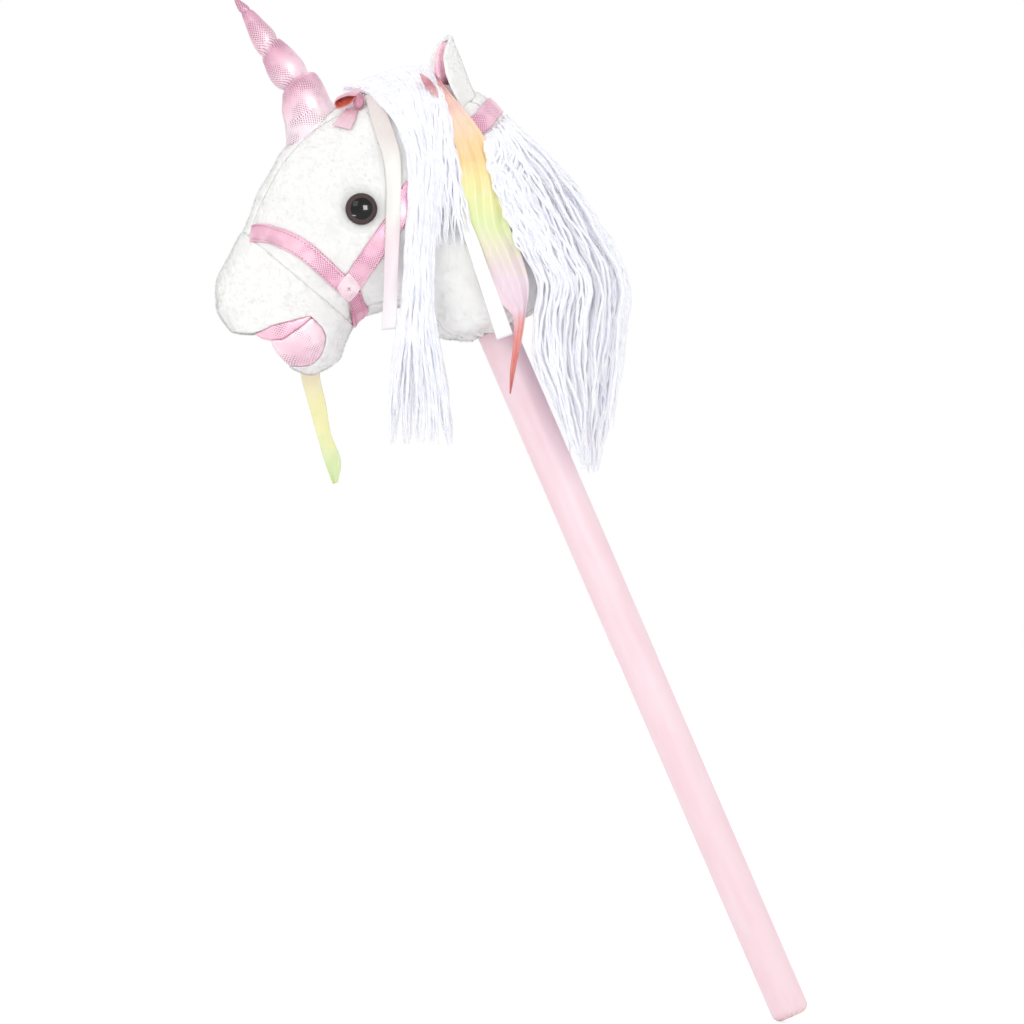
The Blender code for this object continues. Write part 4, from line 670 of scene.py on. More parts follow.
# %% Polished acrylic eye
def eye_material():
    """Iris and pupil by how far a point lies from the eye's own axis, kept in U."""
    material, shader, add = new_material(
        "polished_acrylic_eye", {"Roughness": 0.30, "Coat Weight": 0.50,
                                 "Coat Roughness": 0.03, "Specular IOR Level": 0.05})
    uv, place = add("UVMap", uv_map="weave"), add("TexCoord", out="Object")
    streaks = add("TexNoise", {"Vector": place, "Scale": 1 / (1.1 * MM), "Detail": 3.0})
    edge = add("Math", {0: streaks, 1: 0.04, 2: add("SeparateXYZ", {0: uv})},
               operation="MULTIPLY_ADD")
    feed(shader, {"Base Color": add("ValToRGB", {0: edge}, stops=(
        (0.0, "#020202"), (0.68, "#040303"), (0.73, "#4A3836"), (0.84, "#4A3937"),
        (0.94, "#3C2E2C"), (1.0, "#261D1C")))})
    return material


ACRYLIC_EYE = eye_material()
print("materials:", len(bpy.data.materials))

# %% [markdown]
# The bridle's straps press the plush flat, so their paths come first: points in the side view,
# found again on the surface, with the crest or the throat as the turning point between sides.

# %% Where the bridle presses the plush
NOSEBAND_PATH = ((-0.1437, 0.2372), (-0.1310, 0.2305), (-0.1178, 0.2160),
                 (-0.1082, 0.1994), (-0.0985, 0.1780), (-0.0945, 0.1680))
HEADSTALL_PATH = ((-0.0880, 0.1697), (-0.0800, 0.1752), (-0.0640, 0.1850), (-0.0430, 0.1980),
                  (-0.0230, 0.2140), (0.0080, 0.2290), (0.0390, 0.2420), (0.0580, 0.2480))
CHIN_STRAP_START, CHIN_STRAP_SECTION, CREST_SECTION = (-0.0900, 0.1640), 8.3, 17.05
NOSEBAND_WIDTH, HEADSTALL_WIDTH, CHIN_STRAP_WIDTH = 14 * MM, 16 * MM, 12 * MM
SIDES = (("left", 1), ("right", -1))
NOSEBAND = np.stack(side_angle(*np.array(NOSEBAND_PATH).T), axis=1)
cheek = np.stack(side_angle(*np.array(HEADSTALL_PATH).T), axis=1)
HEADSTALL = np.concatenate([cheek, [[CREST_SECTION, 0.0]], cheek[::-1] * (1, -1)])
chin = np.stack(side_angle(*np.array(CHIN_STRAP_START)[:, None]), axis=1)
under = np.array([[CHIN_STRAP_SECTION - 0.55, math.pi]])
chin_far = np.array([[chin[0, 0], 2 * math.pi - chin[0, 1]]])
CHIN_STRAP = np.concatenate([chin, (chin + under) / 2, under, (chin_far + under) / 2, chin_far])
STRAP_LINES = np.concatenate([
    np.insert(skin(*smooth_rows(path, np.linspace(0, len(path) - 1, 12 * len(path))).T), 3,
              width / 2, axis=1)
    for path, width in ((NOSEBAND, NOSEBAND_WIDTH), (NOSEBAND * (1, -1), NOSEBAND_WIDTH),
                        (HEADSTALL, HEADSTALL_WIDTH), (CHIN_STRAP, CHIN_STRAP_WIDTH))])
print("places along the straps:", len(STRAP_LINES))


# %% How far the straps press
def pressed(points, edge=2.5 * MM):
    """1 under a strap, 0 away from it: a smooth step, as wide as `edge`, at the strap's side."""
    flat = points.reshape(-1, 3)
    gap = np.full(len(flat), 1.0)
    for line in np.array_split(STRAP_LINES, 8):
        away = np.linalg.norm(flat[:, None] - line[None, :, :3], axis=-1) - line[:, 3]
        gap = np.minimum(gap, away.min(axis=1))
    share = np.clip(0.5 - gap / edge, 0, 1)
    return (share * share * (3 - 2 * share)).reshape(points.shape[:-1])


# %% [markdown]
# ## Pile
#
# Plush looks soft because thousands of short fibres stand on it and break its outline. Hair
# curves could draw them, but every program can read a mesh. So a fibre is a three-sided blade,
# closed below, that leans with the nap. It takes the normal of the cloth under it, and the pile
# is shaded as one soft surface.


# %% Normals of the cloth's points
def point_normals(points, faces):
    """Each point's normal: the sum of the cross products of the faces around it."""
    total = np.zeros_like(points)
    for part in faces:
        across = points[part[:, 2]] - points[part[:, 0]]
        other = points[part[:, -1]] - points[part[:, 1]] if part.shape[1] == 4 else \
            points[part[:, 2]] - points[part[:, 1]]
        push = np.cross(across, other) if part.shape[1] == 4 else \
            np.cross(points[part[:, 1]] - points[part[:, 0]], across)
        for corner in range(part.shape[1]):
            for axis in range(3):
                total[:, axis] += np.bincount(part[:, corner], push[:, axis], len(points))
    return unit(total)


# %% Blades of pile
def pile(points, normals, faces, count, length, nap, seed):
    """Blades of pile: points, faces and normals.

    Faces are picked by their area, and a place in one by two random shares. A blade's tip
    lies along normal + nap + a little chance, and its foot is a triangle 0.3 mm wide.
    """
    chance = np.random.default_rng(seed)
    triangles = np.concatenate([faces[:, [0, 1, 2]], faces[:, [0, 2, 3]]]) \
        if faces.shape[1] == 4 else faces
    a, b, c = (points[triangles[:, i]] for i in range(3))
    area = np.linalg.norm(np.cross(b - a, c - a), axis=1)
    pick = chance.choice(len(triangles), count, p=area / area.sum())
    u, v = chance.random((2, count, 1))
    u, v = np.where(u + v > 1, 1 - u, u), np.where(u + v > 1, 1 - v, v)
    root = a[pick] + u * (b[pick] - a[pick]) + v * (c[pick] - a[pick])
    na, nb, nc = (normals[triangles[pick, i]] for i in range(3))
    up = unit(na + u * (nb - na) + v * (nc - na))
    lie = np.asarray(nap, float) + chance.normal(0, 0.45, (count, 3))
    lie -= up * (lie * up).sum(axis=1, keepdims=True)
    way = unit(up + lie)
    tall = length * chance.uniform(0.7, 1.15, (count, 1)) * (1 - 0.75 * pressed(root)[:, None])
    first = unit(np.cross(way, chance.normal(size=(count, 3))))
    second = np.cross(way, first)
    turns = np.arange(3) * 2 * math.pi / 3
    foot = root - up * 0.25 * MM
    ring = [foot + 0.15 * MM * (first * math.cos(t) + second * math.sin(t)) for t in turns]
    blades = np.stack([*ring, root + way * tall], axis=1).reshape(-1, 3)
    start = np.arange(count)[:, None, None] * 4
    sides = np.array([(0, 1, 3), (1, 2, 3), (2, 0, 3), (0, 2, 1)])[None]
    return blades, (start + sides).reshape(-1, 3), np.repeat(up, 4, axis=0)


# %% A plush piece
PILE_LENGTH = 1.8 * MM


def plush_piece(name, points, quads, pile_faces, count, seed, node, nap=(0.5, 0, -0.6),
                extra=()):
    """A plush piece: its cloth, then its pile, as one mesh in the row's frame."""
    normals = point_normals(points, [quads])
    blades, triangles, lifted = pile(points, normals, pile_faces, count, PILE_LENGTH, nap,
                                    seed)
    whole = leaned(np.concatenate([points, blades]))
    shading = leaned(np.concatenate([normals, lifted]))
    obj = add_mesh(name, whole, [quads, triangles + len(points)], normals=shading)
    return finish_piece(obj, PLUSH, (node, *extra))


# %% [markdown]
# ## The head's panels
#
# Four panels close the head behind the muzzle: a strip along the crest, a strip along the
# throat and a big side panel left and right. Sewn plush is full between its seams and pulled in
# at them, so each panel's face falls 1 mm at its edges, on a bell curve 2.2 mm wide. Round the
# eyes a stitch through the head pulls the plush in, and the neck's hem is gathered.

# %% Panels of the head
EYE_PLACE = (-0.0585, 0.2204)
EYE_RADIUS = 12.5 * MM
EYE_SPOT = side_angle(*np.array(EYE_PLACE)[:, None])
EYE_SEAT = skin(*EYE_SPOT)[0]
SEAM_DIP, SEAM_WIDTH, HIDDEN_SEAM = 1.0 * MM, 2.2 * MM, 2.6 * MM
EYE_PULL, EYE_PULL_WIDTH, STRAP_PRESS = 1.3 * MM, 4.5 * MM, 0.8 * MM
HEM_FOLDS, FOLDS_START = 15, 20.8


def soft_lumps(points, size=46 * MM, height=0.35 * MM):
    """The filling's slow swell: three sines along slanting directions, added up."""
    ways = np.array([(1.0, 0.4, 0.7), (-0.5, 1.1, 0.6), (0.8, -0.9, 1.0)]) * 2 * math.pi / size
    return height * np.sin(points @ ways.T + (0.3, 1.7, 4.0)).sum(axis=-1)


def arc_length(points):
    """How far along its line each point lies, in metres, counted from the line's start."""
    steps = np.linalg.norm(np.diff(points, axis=-2), axis=-1)
    return np.concatenate([np.zeros_like(steps[..., :1]), np.cumsum(steps, axis=-1)], axis=-1)


def gathers(where, angle):
    """Folds at the neck's hem: cosines round it that grow over the last three sections."""
    grow = np.clip((where - FOLDS_START) / 3.0, 0, 1) ** 1.6
    wave = np.cos(HEM_FOLDS * angle + 1.5 * np.sin(2 * angle)) + 0.4 * np.cos(26 * angle + 1.0)
    return grow * wave * 1.0 * MM


def panel(name, node, angles, rows, count, seed):
    """A closed wall of plush between two angles, from the nose seam to the hem."""
    where = np.linspace(NOSE_SEAM - 0.01, LAST_ROW - 0.002, rows)[:, None]
    angles = angles[None, :]
    base = skin(where, angles)
    from_nose = np.linalg.norm(base - base[:1], axis=-1) + HIDDEN_SEAM
    along = arc_length(base)
    sewn = np.minimum(np.minimum(along, along[:, -1:] - along), from_nose)
    lift = -SEAM_DIP * np.exp(-(sewn / SEAM_WIDTH) ** 2) + soft_lumps(base) - 0.5 * MM
    folded = np.stack([base[..., 0], -np.abs(base[..., 1]), base[..., 2]], axis=-1)
    away = np.linalg.norm(folded - EYE_SEAT, axis=-1)
    lift -= EYE_PULL * np.exp(-((away - EYE_RADIUS) / EYE_PULL_WIDTH) ** 2)
    lift += gathers(where, angles) - STRAP_PRESS * pressed(base)
    outer = skin(where, angles, lift)
    inner = skin(where, angles, lift - SKIN)
    points, quads, _ = wall(outer, inner)
    cloth = (rows - 1) * (outer.shape[1] - 1)
    return plush_piece(name, points, quads, quads[:cloth], count, seed, node)


# %% Four panels
SEAM_GAP = 0.0005  # half the gap between two panels, as an angle
crest = np.linspace(-GUSSET + SEAM_GAP, GUSSET - SEAM_GAP, 26)
side = np.linspace(GUSSET + SEAM_GAP, math.pi - GUSSET - SEAM_GAP, 76)
panel("plush_side_left", "skin_left_side", side, 132, 21000, 11)
panel("plush_side_right", "skin_right_side", -side, 132, 21000, 12)
panel("plush_crest_strip", "skin_forehead_gusset", crest, 120, 7000, 13)
panel("plush_throat_strip", "skin_throat_gusset", math.pi + crest, 90, 3500, 14)

# %% [markdown]
# ## The muzzle and mouth
#
# The muzzle is a cup with a mouth let into it, and a grid of rings has no place for a hole. So
# the surface in front of the nose seam is closed, and the opening is cut out by a Boolean. A
# voxel remesh then makes one even skin of the cut form, and a few rounds of averaging each
# point with its neighbours roll its edges over, as stuffed cloth does. The lip and the roof of
# the mouth are made the same way, from what the opening takes away.

# %% The mouth's outlines in the side view, each from the front to the corner of the mouth
LIP_CREASE = ((-0.1640, 0.1551), (-0.1544, 0.1518), (-0.1423, 0.1542), (-0.1339, 0.1561),
              (-0.1274, 0.1585))
MOUTH_TOP = ((-0.1660, 0.1645), (-0.1580, 0.1652), (-0.1414, 0.1623), (-0.1280, 0.1605))
MOUTH_BOTTOM = ((-0.1588, 0.1318), (-0.1506, 0.1274), (-0.1422, 0.1251), (-0.1340, 0.1283),
                (-0.1284, 0.1329), (-0.1237, 0.1402), (-0.1231, 0.1476))
ROOF_FRONT = ((-0.1735, 0.1647), (-0.1699, 0.1593))
LIP_FRONT = ((-0.1641, 0.1501), (-0.1635, 0.1447), (-0.1617, 0.1388))
MUZZLE_FRONT = ((-0.1650, 0.1275), (-0.1832, 0.1286), (-0.1976, 0.1620), (-0.1879, 0.1727),
                (-0.1810, 0.1689), (-0.1740, 0.1655))


# %% Solids from rings
def closed_rings(rings):
    """Rings joined into a solid whose two ends are closed by fans."""
    count, sides = rings.shape[:2]
    quads, _ = grid_faces(count, sides, True)
    points = np.concatenate([rings.reshape(-1, 3), rings[:1].mean(axis=1),
                             rings[-1:].mean(axis=1)])
    first = np.arange(sides)
    after = np.roll(first, -1)
    fans = np.concatenate([
        np.stack([np.full(sides, count * sides), after, first], axis=1),
        np.stack([np.full(sides, count * sides + 1), first + (count - 1) * sides,
                  after + (count - 1) * sides], axis=1)])
    return points, quads, fans


def prism(outline, half_depth=0.07):
    """A side-view outline carried straight across the head, as a solid."""
    outline = np.array(outline)
    rings = np.empty((2, len(outline), 3))
    rings[..., 0], rings[..., 2] = outline[:, 0], outline[:, 1]
    rings[0, :, 1], rings[1, :, 1] = -half_depth, half_depth
    return closed_rings(rings)


# %% A soft solid cut by another
def carved(form, tool, operation, voxel, rounds):
    """Boolean, then voxel remesh, then smoothing: the points and quads of a soft solid.

    Smoothing moves each point half the way to the mean of its neighbours, a few times.
    """
    solids = [outward(add_mesh("work", points, [quads, fans]))
              for points, quads, fans in (form, tool)]
    cut = solids[0].modifiers.new("mouth", "BOOLEAN")
    cut.object, cut.operation, cut.solver = solids[1], operation, "EXACT"
    remesh = solids[0].modifiers.new("even", "REMESH")
    remesh.mode, remesh.voxel_size = "VOXEL", voxel
    graph = bpy.context.evaluated_depsgraph_get()
    mesh = bpy.data.meshes.new_from_object(solids[0].evaluated_get(graph))
    points = np.empty(len(mesh.vertices) * 3, np.float32)
    mesh.vertices.foreach_get("co", points)
    points = points.reshape(-1, 3).astype(float)
    quads = np.empty(len(mesh.loops), np.int32)
    mesh.loops.foreach_get("vertex_index", quads)
    quads = quads.reshape(-1, 4)
    ends = np.concatenate([quads[:, [i, (i + 1) % 4]] for i in range(4)])
    ends = np.concatenate([ends, ends[:, ::-1]])
    near = np.bincount(ends[:, 0], minlength=len(points))[:, None]
    for _ in range(rounds):
        total = np.stack([np.bincount(ends[:, 0], points[ends[:, 1], axis], len(points))
                          for axis in range(3)], axis=1)
        points = (points + total / near) / 2
    for solid in solids:
        bpy.data.objects.remove(solid)
    return points, quads


# %% The muzzle, with its seam pulled in and its mouth open
around = np.linspace(0, 2 * math.pi, 120, endpoint=False)[None, :]
nose = np.linspace(0.02, 1.0, 56)[:, None] ** 1.1 * (NOSE_SEAM + 0.03)
from_seam = np.linalg.norm(skin(nose, around) - skin(np.array([[NOSE_SEAM]]), around), axis=-1)
nose_lift = -SEAM_DIP * np.exp(-((from_seam + HIDDEN_SEAM) / SEAM_WIDTH) ** 2)
nose_form = skin(nose, around)
nose_form += skin_normal(nose, around) * (nose_lift + soft_lumps(nose_form))[..., None]
opening = MOUTH_BOTTOM[::-1] + MUZZLE_FRONT + MOUTH_TOP + LIP_CREASE[-1:]
cup_points, cup_quads = carved(closed_rings(nose_form), prism(opening), "DIFFERENCE",
                               1.25 * MM, 7)
plush_piece("plush_muzzle", cup_points, cup_quads, cup_quads, 17000, 15, "skin_muzzle",
            nap=(0.6, 0, -0.2), extra=("filling_muzzle",))


# %% The foil lip and the roof of the mouth
def wrapped_uv(points):
    """Cloth laid round the muzzle like a label round a jar: arc length across, height up."""
    turn = np.arctan2(points[:, 1], -(points[:, 0] + 0.125))
    return np.stack([turn * 42 * MM, points[:, 2]], axis=-1)


def foil_piece(name, outline, lift, node, material):
    """A piece of the muzzle's surface, moved out by the lift and cut to an outline."""
    form = skin(nose, around, np.full(nose.shape, lift))
    points, quads = carved(closed_rings(form), prism(outline), "INTERSECT", 0.95 * MM, 6)
    flat = wrapped_uv(points)
    obj = add_mesh(name, leaned(points), [quads], [flat[quads]])
    return finish_piece(obj, material, (node,))


roof_outline = LIP_CREASE + MOUTH_TOP[::-1] + ROOF_FRONT
lip_outline = LIP_CREASE[::-1] + LIP_FRONT + MOUTH_BOTTOM
# The roof's darker foil is painted shade under the upper lip.
foil_piece("mouth_roof_foil", roof_outline, -0.8 * MM, "mouth_roof", MOUTH_ROOF_SHADED_FOIL)
lip = foil_piece("lower_lip_foil", lip_outline, 1.6 * MM, "lower_lip", FOIL)

# %% [markdown]
# ## Eyes
#
# A safety eye is a domed button on a shank. Its profile is turned: a quarter ellipse from the
# middle to the rim, then a rounded edge, a flat back and the shank. Half a squashed ball would
# do for the front, but the real rim and shank come with the profile. U holds the distance from
# the middle, which the material reads to place the pupil.


# %% Turned pieces
def turned_surface(profile, sides, centre, axis):
    """A (radius, height) profile turned about an axis: rings of points in the pole's frame."""
    axis = unit(np.asarray(axis, float))
    first = unit(np.cross(axis, (0.3, 0.1, 1.0)))
    second = np.cross(axis, first)
    turns = np.arange(sides) * 2 * math.pi / sides
    ring = np.cos(turns)[:, None] * first + np.sin(turns)[:, None] * second
    profile = np.asarray(profile, float)
    return centre + profile[:, :1, None] * ring[None] + profile[:, 1:, None] * axis


def add_turned(name, profile, sides, centre, axis, uv):
    """A closed turned piece; UV is the given pair of numbers for each ring."""
    points, quads, fans = closed_rings(turned_surface(profile, sides, centre, axis))
    _, corner = grid_faces(len(profile), sides, True)
    ends = np.array([[uv[0]] * 3] * sides + [[uv[-1]] * 3] * sides)
    return closed_mesh(name, points, [quads, fans], [uv[corner[..., 0]], ends])


# %% Both eyes
EYE_RIM, EYE_DOME, EYE_TOP = 1.4 * MM, 7.4 * MM, 8.8 * MM
SHANK_RADIUS, SHANK_LENGTH = 2.5 * MM, 13 * MM
rim = np.linspace(0, math.pi / 2, 20)
dome = np.stack([EYE_RADIUS * np.sin(rim), EYE_RIM + EYE_DOME * np.cos(rim)], axis=1)
edge = np.linspace(0, math.pi / 2, 6)[1:]
under = np.stack([EYE_RADIUS - 0.9 * MM * (1 - np.cos(edge)), EYE_RIM - EYE_RIM * np.sin(edge)],
                 axis=1)
shank = np.array([(SHANK_RADIUS, 0.0), (SHANK_RADIUS, -SHANK_LENGTH)])
eye_profile = np.concatenate([dome[1:], under, shank])
eye_uv = np.stack([np.append(eye_profile[:-2, 0] / EYE_RADIUS, (0.2, 0.2)),
                   np.zeros(len(eye_profile))], axis=1)
eye_uv[len(dome) - 1:-2, 0] = 1.0
eye_where, eye_angle = EYE_SPOT
for eye_name, way in SIDES:
    seat = skin(eye_where, way * eye_angle)[0]
    axis = skin_normal(eye_where, way * eye_angle)[0]
    eye = add_turned(f"acrylic_eye_{eye_name}", eye_profile, 64, seat + axis * 0.2 * MM, axis,
                     eye_uv)
    finish_piece(eye, ACRYLIC_EYE, (f"eye_{eye_name}",))

# %% [markdown]
# ## Horn
#
# The horn is a stuffed cone of foil cloth, drawn in by three ties of thread, so it stands as
# four puffs. Four cones would show gaps, so it is one sleeve: each puff's shoulder rises past
# the thread above it and folds back down to it, which hides the foot of the next puff. The
# rings slant as the threads do. Near a thread the cloth lies in small pleats, a cosine round
# the ring that dies away up and down.

# %% Horn, as height and radius of each puff from its foot to the thread above it
HORN_SPINE = ((0.0, 0.0), (0.023, 0.0030), (0.040, 0.0040), (0.073, -0.0045),
              (0.107, -0.0100), (0.122, -0.0145))
HORN_PUFFS = (
    ((0.018, 0.0200), (0.026, 0.0196), (0.033, 0.0182), (0.0388, 0.0158), (0.0424, 0.0128),
     (0.0430, 0.0110), (0.0410, 0.0098)),
    ((0.0425, 0.0106), (0.0470, 0.0128), (0.0530, 0.0138), (0.0610, 0.0129),
     (0.0690, 0.0110), (0.0740, 0.0090), (0.0752, 0.0079), (0.0742, 0.0072)),
    ((0.0755, 0.0077), (0.0800, 0.0092), (0.0870, 0.0091), (0.0950, 0.0076),
     (0.1035, 0.0058), (0.1076, 0.0046), (0.1086, 0.0039), (0.1078, 0.0034)),
    ((0.1088, 0.0036), (0.1120, 0.0041), (0.1160, 0.0031), (0.1196, 0.0019),
     (0.1212, 0.0009)),
)
HORN_THREADS = (0.0410, 0.0742, 0.1078)
HORN_SLANTS = (14.0, 29.0, 3.0)
HORN_SIDES = 96
HORN_ROOT = skin(np.array([11.72]), np.array([0.0]))[0] - (0, 0, 8.5 * MM)


def drop_along(points, direction, clearance):
    """Each point moved along a direction until it stands that clear of the plush."""
    steps = np.linspace(0, 0.045, 226)
    moved = points[:, None] + steps[:, None] * direction
    room = np.abs(moved[..., 1]) - half_width_at(moved[..., 0], moved[..., 2], clearance)
    inside = room < 0
    stop = np.where(inside.any(axis=1), np.maximum(inside.argmax(axis=1) - 1, 0), 0)
    return moved[np.arange(len(points)), stop]


# %% Slanting rings on the horn's bent spine
def horn_ring(heights, radii, turns):
    """Rings on the bent spine: height + x * slope, bowed up where the ring faces sideways."""
    heights, radii = (np.asarray(v, float)[:, None] for v in (heights, radii))
    slope = np.interp(heights, (0.0, *HORN_THREADS),
                      (0.0, *np.tan(np.radians(HORN_SLANTS))))
    x = radii * np.cos(turns)
    bow = np.interp(heights, (0.02, 0.041, 0.074, 0.108), (0, 2.2, 1.2, 0.4)) * MM
    shift = np.interp(heights, *np.array(HORN_SPINE).T)
    return HORN_ROOT + np.stack([x + shift, radii * np.sin(turns),
                                 heights + x * slope + bow * np.sin(turns) ** 2], axis=-1)


# %% The horn's puffs and pleats
turns = np.linspace(-math.pi, math.pi, HORN_SIDES, endpoint=False)[None, :]
profile = np.concatenate([smooth_rows(puff, np.linspace(0, len(puff) - 1, 9 * len(puff)))
                          for puff in HORN_PUFFS])
heights = profile[:, :1]
pleat = sum(np.exp(-((heights - at) / (3.2 * MM)) ** 2) * np.cos(count * turns + phase)
            for at, count, phase in zip(HORN_THREADS, (13, 11, 7), (0.0, 1.1, 2.0)))
hem_pleat = np.exp(-((heights - 0.018) / (5 * MM)) ** 2) * np.cos(17 * turns)
radii = profile[:, 1:] * (1 + 0.045 * pleat + 0.012 * hem_pleat
                          + 0.02 * np.sin(3 * turns + heights * 190))
horn = horn_ring(profile[:, 0], profile[:, 1], turns)
horn_axis = horn.mean(axis=1, keepdims=True)
horn = horn_axis + (horn - horn_axis) * (radii / profile[:, 1:])[..., None]

# %% The horn's hem, turned in under its foot, and the whole cover
HEM_RADIUS, HEM_START, HEM_CLEARANCE = 24.5 * MM, 22 * MM, 0.1 * MM
DOWN = np.array((0.0, 0.0, -1.0))
hem_turns = turns[0]
hem = HORN_ROOT + np.stack([HEM_RADIUS * np.cos(hem_turns), HEM_RADIUS * np.sin(hem_turns),
                            np.full(HORN_SIDES, HEM_START)], axis=-1)
hem = drop_along(hem, DOWN, HEM_CLEARANCE)
share = np.linspace(0, 1, 8)[:, None, None] ** 0.8
flare = hem * (1 - share) + horn[0] * share
flare[..., 2] -= (np.sin(share * math.pi) * 1.2 * MM)[..., 0]
horn = np.concatenate([flare[:-1], horn])
inner_hem = HORN_ROOT + (hem - HORN_ROOT) * (0.9, 0.9, 1.0) - (0, 0, 2 * MM)
horn = np.concatenate([inner_hem[None], horn])
reach = np.concatenate([np.full((1, 1), 22 * MM), np.linspace(24.5, 19.7, 7)[:, None] * MM,
                        profile[:, 1:]])
tall = np.concatenate([np.linspace(0.004, 0.017, 8)[:, None], profile[:, :1]])
horn_points, horn_quads, horn_fans = closed_rings(horn)
_, corner = grid_faces(len(horn), HORN_SIDES, True)
round_turn = np.linspace(-math.pi, math.pi, HORN_SIDES + 1)
spot = np.stack([round_turn[corner[..., 1]] * reach[corner[..., 0], 0],
                 tall[corner[..., 0], 0]], axis=-1)
horn_obj = closed_mesh("horn_foil", horn_points, [horn_quads, horn_fans], [spot])
finish_piece(horn_obj, HORN_FOIL, ("horn_cover", "horn_filling"))


# %% Threads that draw the horn in
def tube(paths, radius, sides, ups, closed=False):
    """Tubes round paths of shape (count, steps, 3): points and faces, ends closed by fans.

    Each ring stands square to the path: its first direction is the cross product of the
    tangent and `ups`, its second completes the pair. Radius may differ at every ring.
    """
    count, steps = paths.shape[:2]
    tangent = unit(np.roll(paths, -1, axis=1) - np.roll(paths, 1, axis=1)) if closed \
        else unit(np.gradient(paths, axis=1))
    first = unit(np.cross(tangent, np.asarray(ups, float)))
    second = np.cross(tangent, first)
    angle = np.arange(sides) * 2 * math.pi / sides
    ring = (np.cos(angle)[:, None] * first[:, :, None]
            + np.sin(angle)[:, None] * second[:, :, None])
    radius = np.broadcast_to(np.asarray(radius, float), ring.shape[:3])
    rings = paths[:, :, None] + ring * radius[..., None]
    points = rings.reshape(-1, 3)
    block = (np.arange(count) * steps * sides)[:, None, None]
    if closed:
        quads, corner = grid_faces(steps + 1, sides, True)
        quads = quads % (steps * sides)
    else:
        quads, corner = grid_faces(steps, sides, True)
    faces = [(quads[None] + block).reshape(-1, 4)]
    if not closed:
        tips = np.concatenate([paths[:, 0], paths[:, -1]])
        first_tip = len(points) + np.arange(count)[:, None]
        last_tip = first_tip + count
        here = np.arange(sides)[None]
        after = (here + 1) % sides
        low = block[:, 0] + here
        high = low + (steps - 1) * sides
        fans = np.concatenate([
            np.stack([first_tip + 0 * here, block[:, 0] + after, low], axis=-1),
            np.stack([last_tip + 0 * here, high, high - here + after], axis=-1)])
        faces.append(fans.reshape(-1, 3))
        points = np.concatenate([points, tips])
    return points, faces, corner


# %% Three ties of thread, each two turns side by side
for number, (at, radius) in enumerate(zip(HORN_THREADS, (0.0098, 0.0072, 0.0034)), 1):
    loop_turns = np.linspace(-math.pi, math.pi, 72, endpoint=False)
    loops = np.stack([horn_ring([at + rise * MM], [radius + 0.25 * MM], loop_turns)[0]
                      for rise in (-0.35, 0.35)])
    points, faces, _ = tube(loops, 0.38 * MM, 8, (0.1, 0.02, 1.0), closed=True)
    thread = closed_mesh(f"horn_tie_{number}", points, faces)
    finish_piece(thread, PINK_THREAD, (f"horn_thread_{number}",))

# %% [markdown]
# ## Ears
#
# Each ear is one leaf of plush, curled round a line 8 to 10 mm in front of its middle and sewn
# to the head. It and its lining are fixed in place and ride on no body.

# %% Place and width of an ear's leaf
EAR_SECTION, EAR_ANGLE, EAR_BEND = 15.9, 14.0, math.radians(70.0)
EAR_HEIGHT, EAR_HALF_WIDTH, EAR_ROOT_HALF_WIDTH, EAR_WIDEST = 0.0425, 0.0270, 0.0200, 0.36
EAR_FOLD_HEIGHT, EAR_CURL, EAR_TIP_CURL, EAR_THICKNESS = 0.015, 0.0080, 0.0100, 2.6 * MM
EAR_LEAN, EAR_SPLAY, EAR_TURN = 2.0, 6.0, 26.0


def ear_axes(side):
    """Root, direction, open side and width direction of one ear; side is 1 for the left."""
    root = skin(np.array([EAR_SECTION]), np.array([side * math.radians(EAR_ANGLE)]))[0]
    lean, splay, turn = (math.radians(a) for a in (EAR_LEAN, EAR_SPLAY, EAR_TURN))
    up = unit(np.array([math.sin(lean), -side * math.sin(splay), math.cos(lean)]))
    ahead = np.array([-math.cos(turn), -side * math.sin(turn), 0.0])
    ahead = unit(ahead - up * (ahead @ up))
    return root - ahead * EAR_CURL, up, ahead, np.cross(up, ahead)


def ear_half_width(height):
    """Half width of the flat leaf: straight to its widest, then a quarter ellipse."""
    share = np.asarray(height, float) / EAR_HEIGHT
    low = EAR_ROOT_HALF_WIDTH + (EAR_HALF_WIDTH - EAR_ROOT_HALF_WIDTH) * share / EAR_WIDEST
    high = np.clip((share - EAR_WIDEST) / (1 - EAR_WIDEST), 0, 1)
    return np.where(share < EAR_WIDEST, low, EAR_HALF_WIDTH * np.sqrt(1 - high**2))


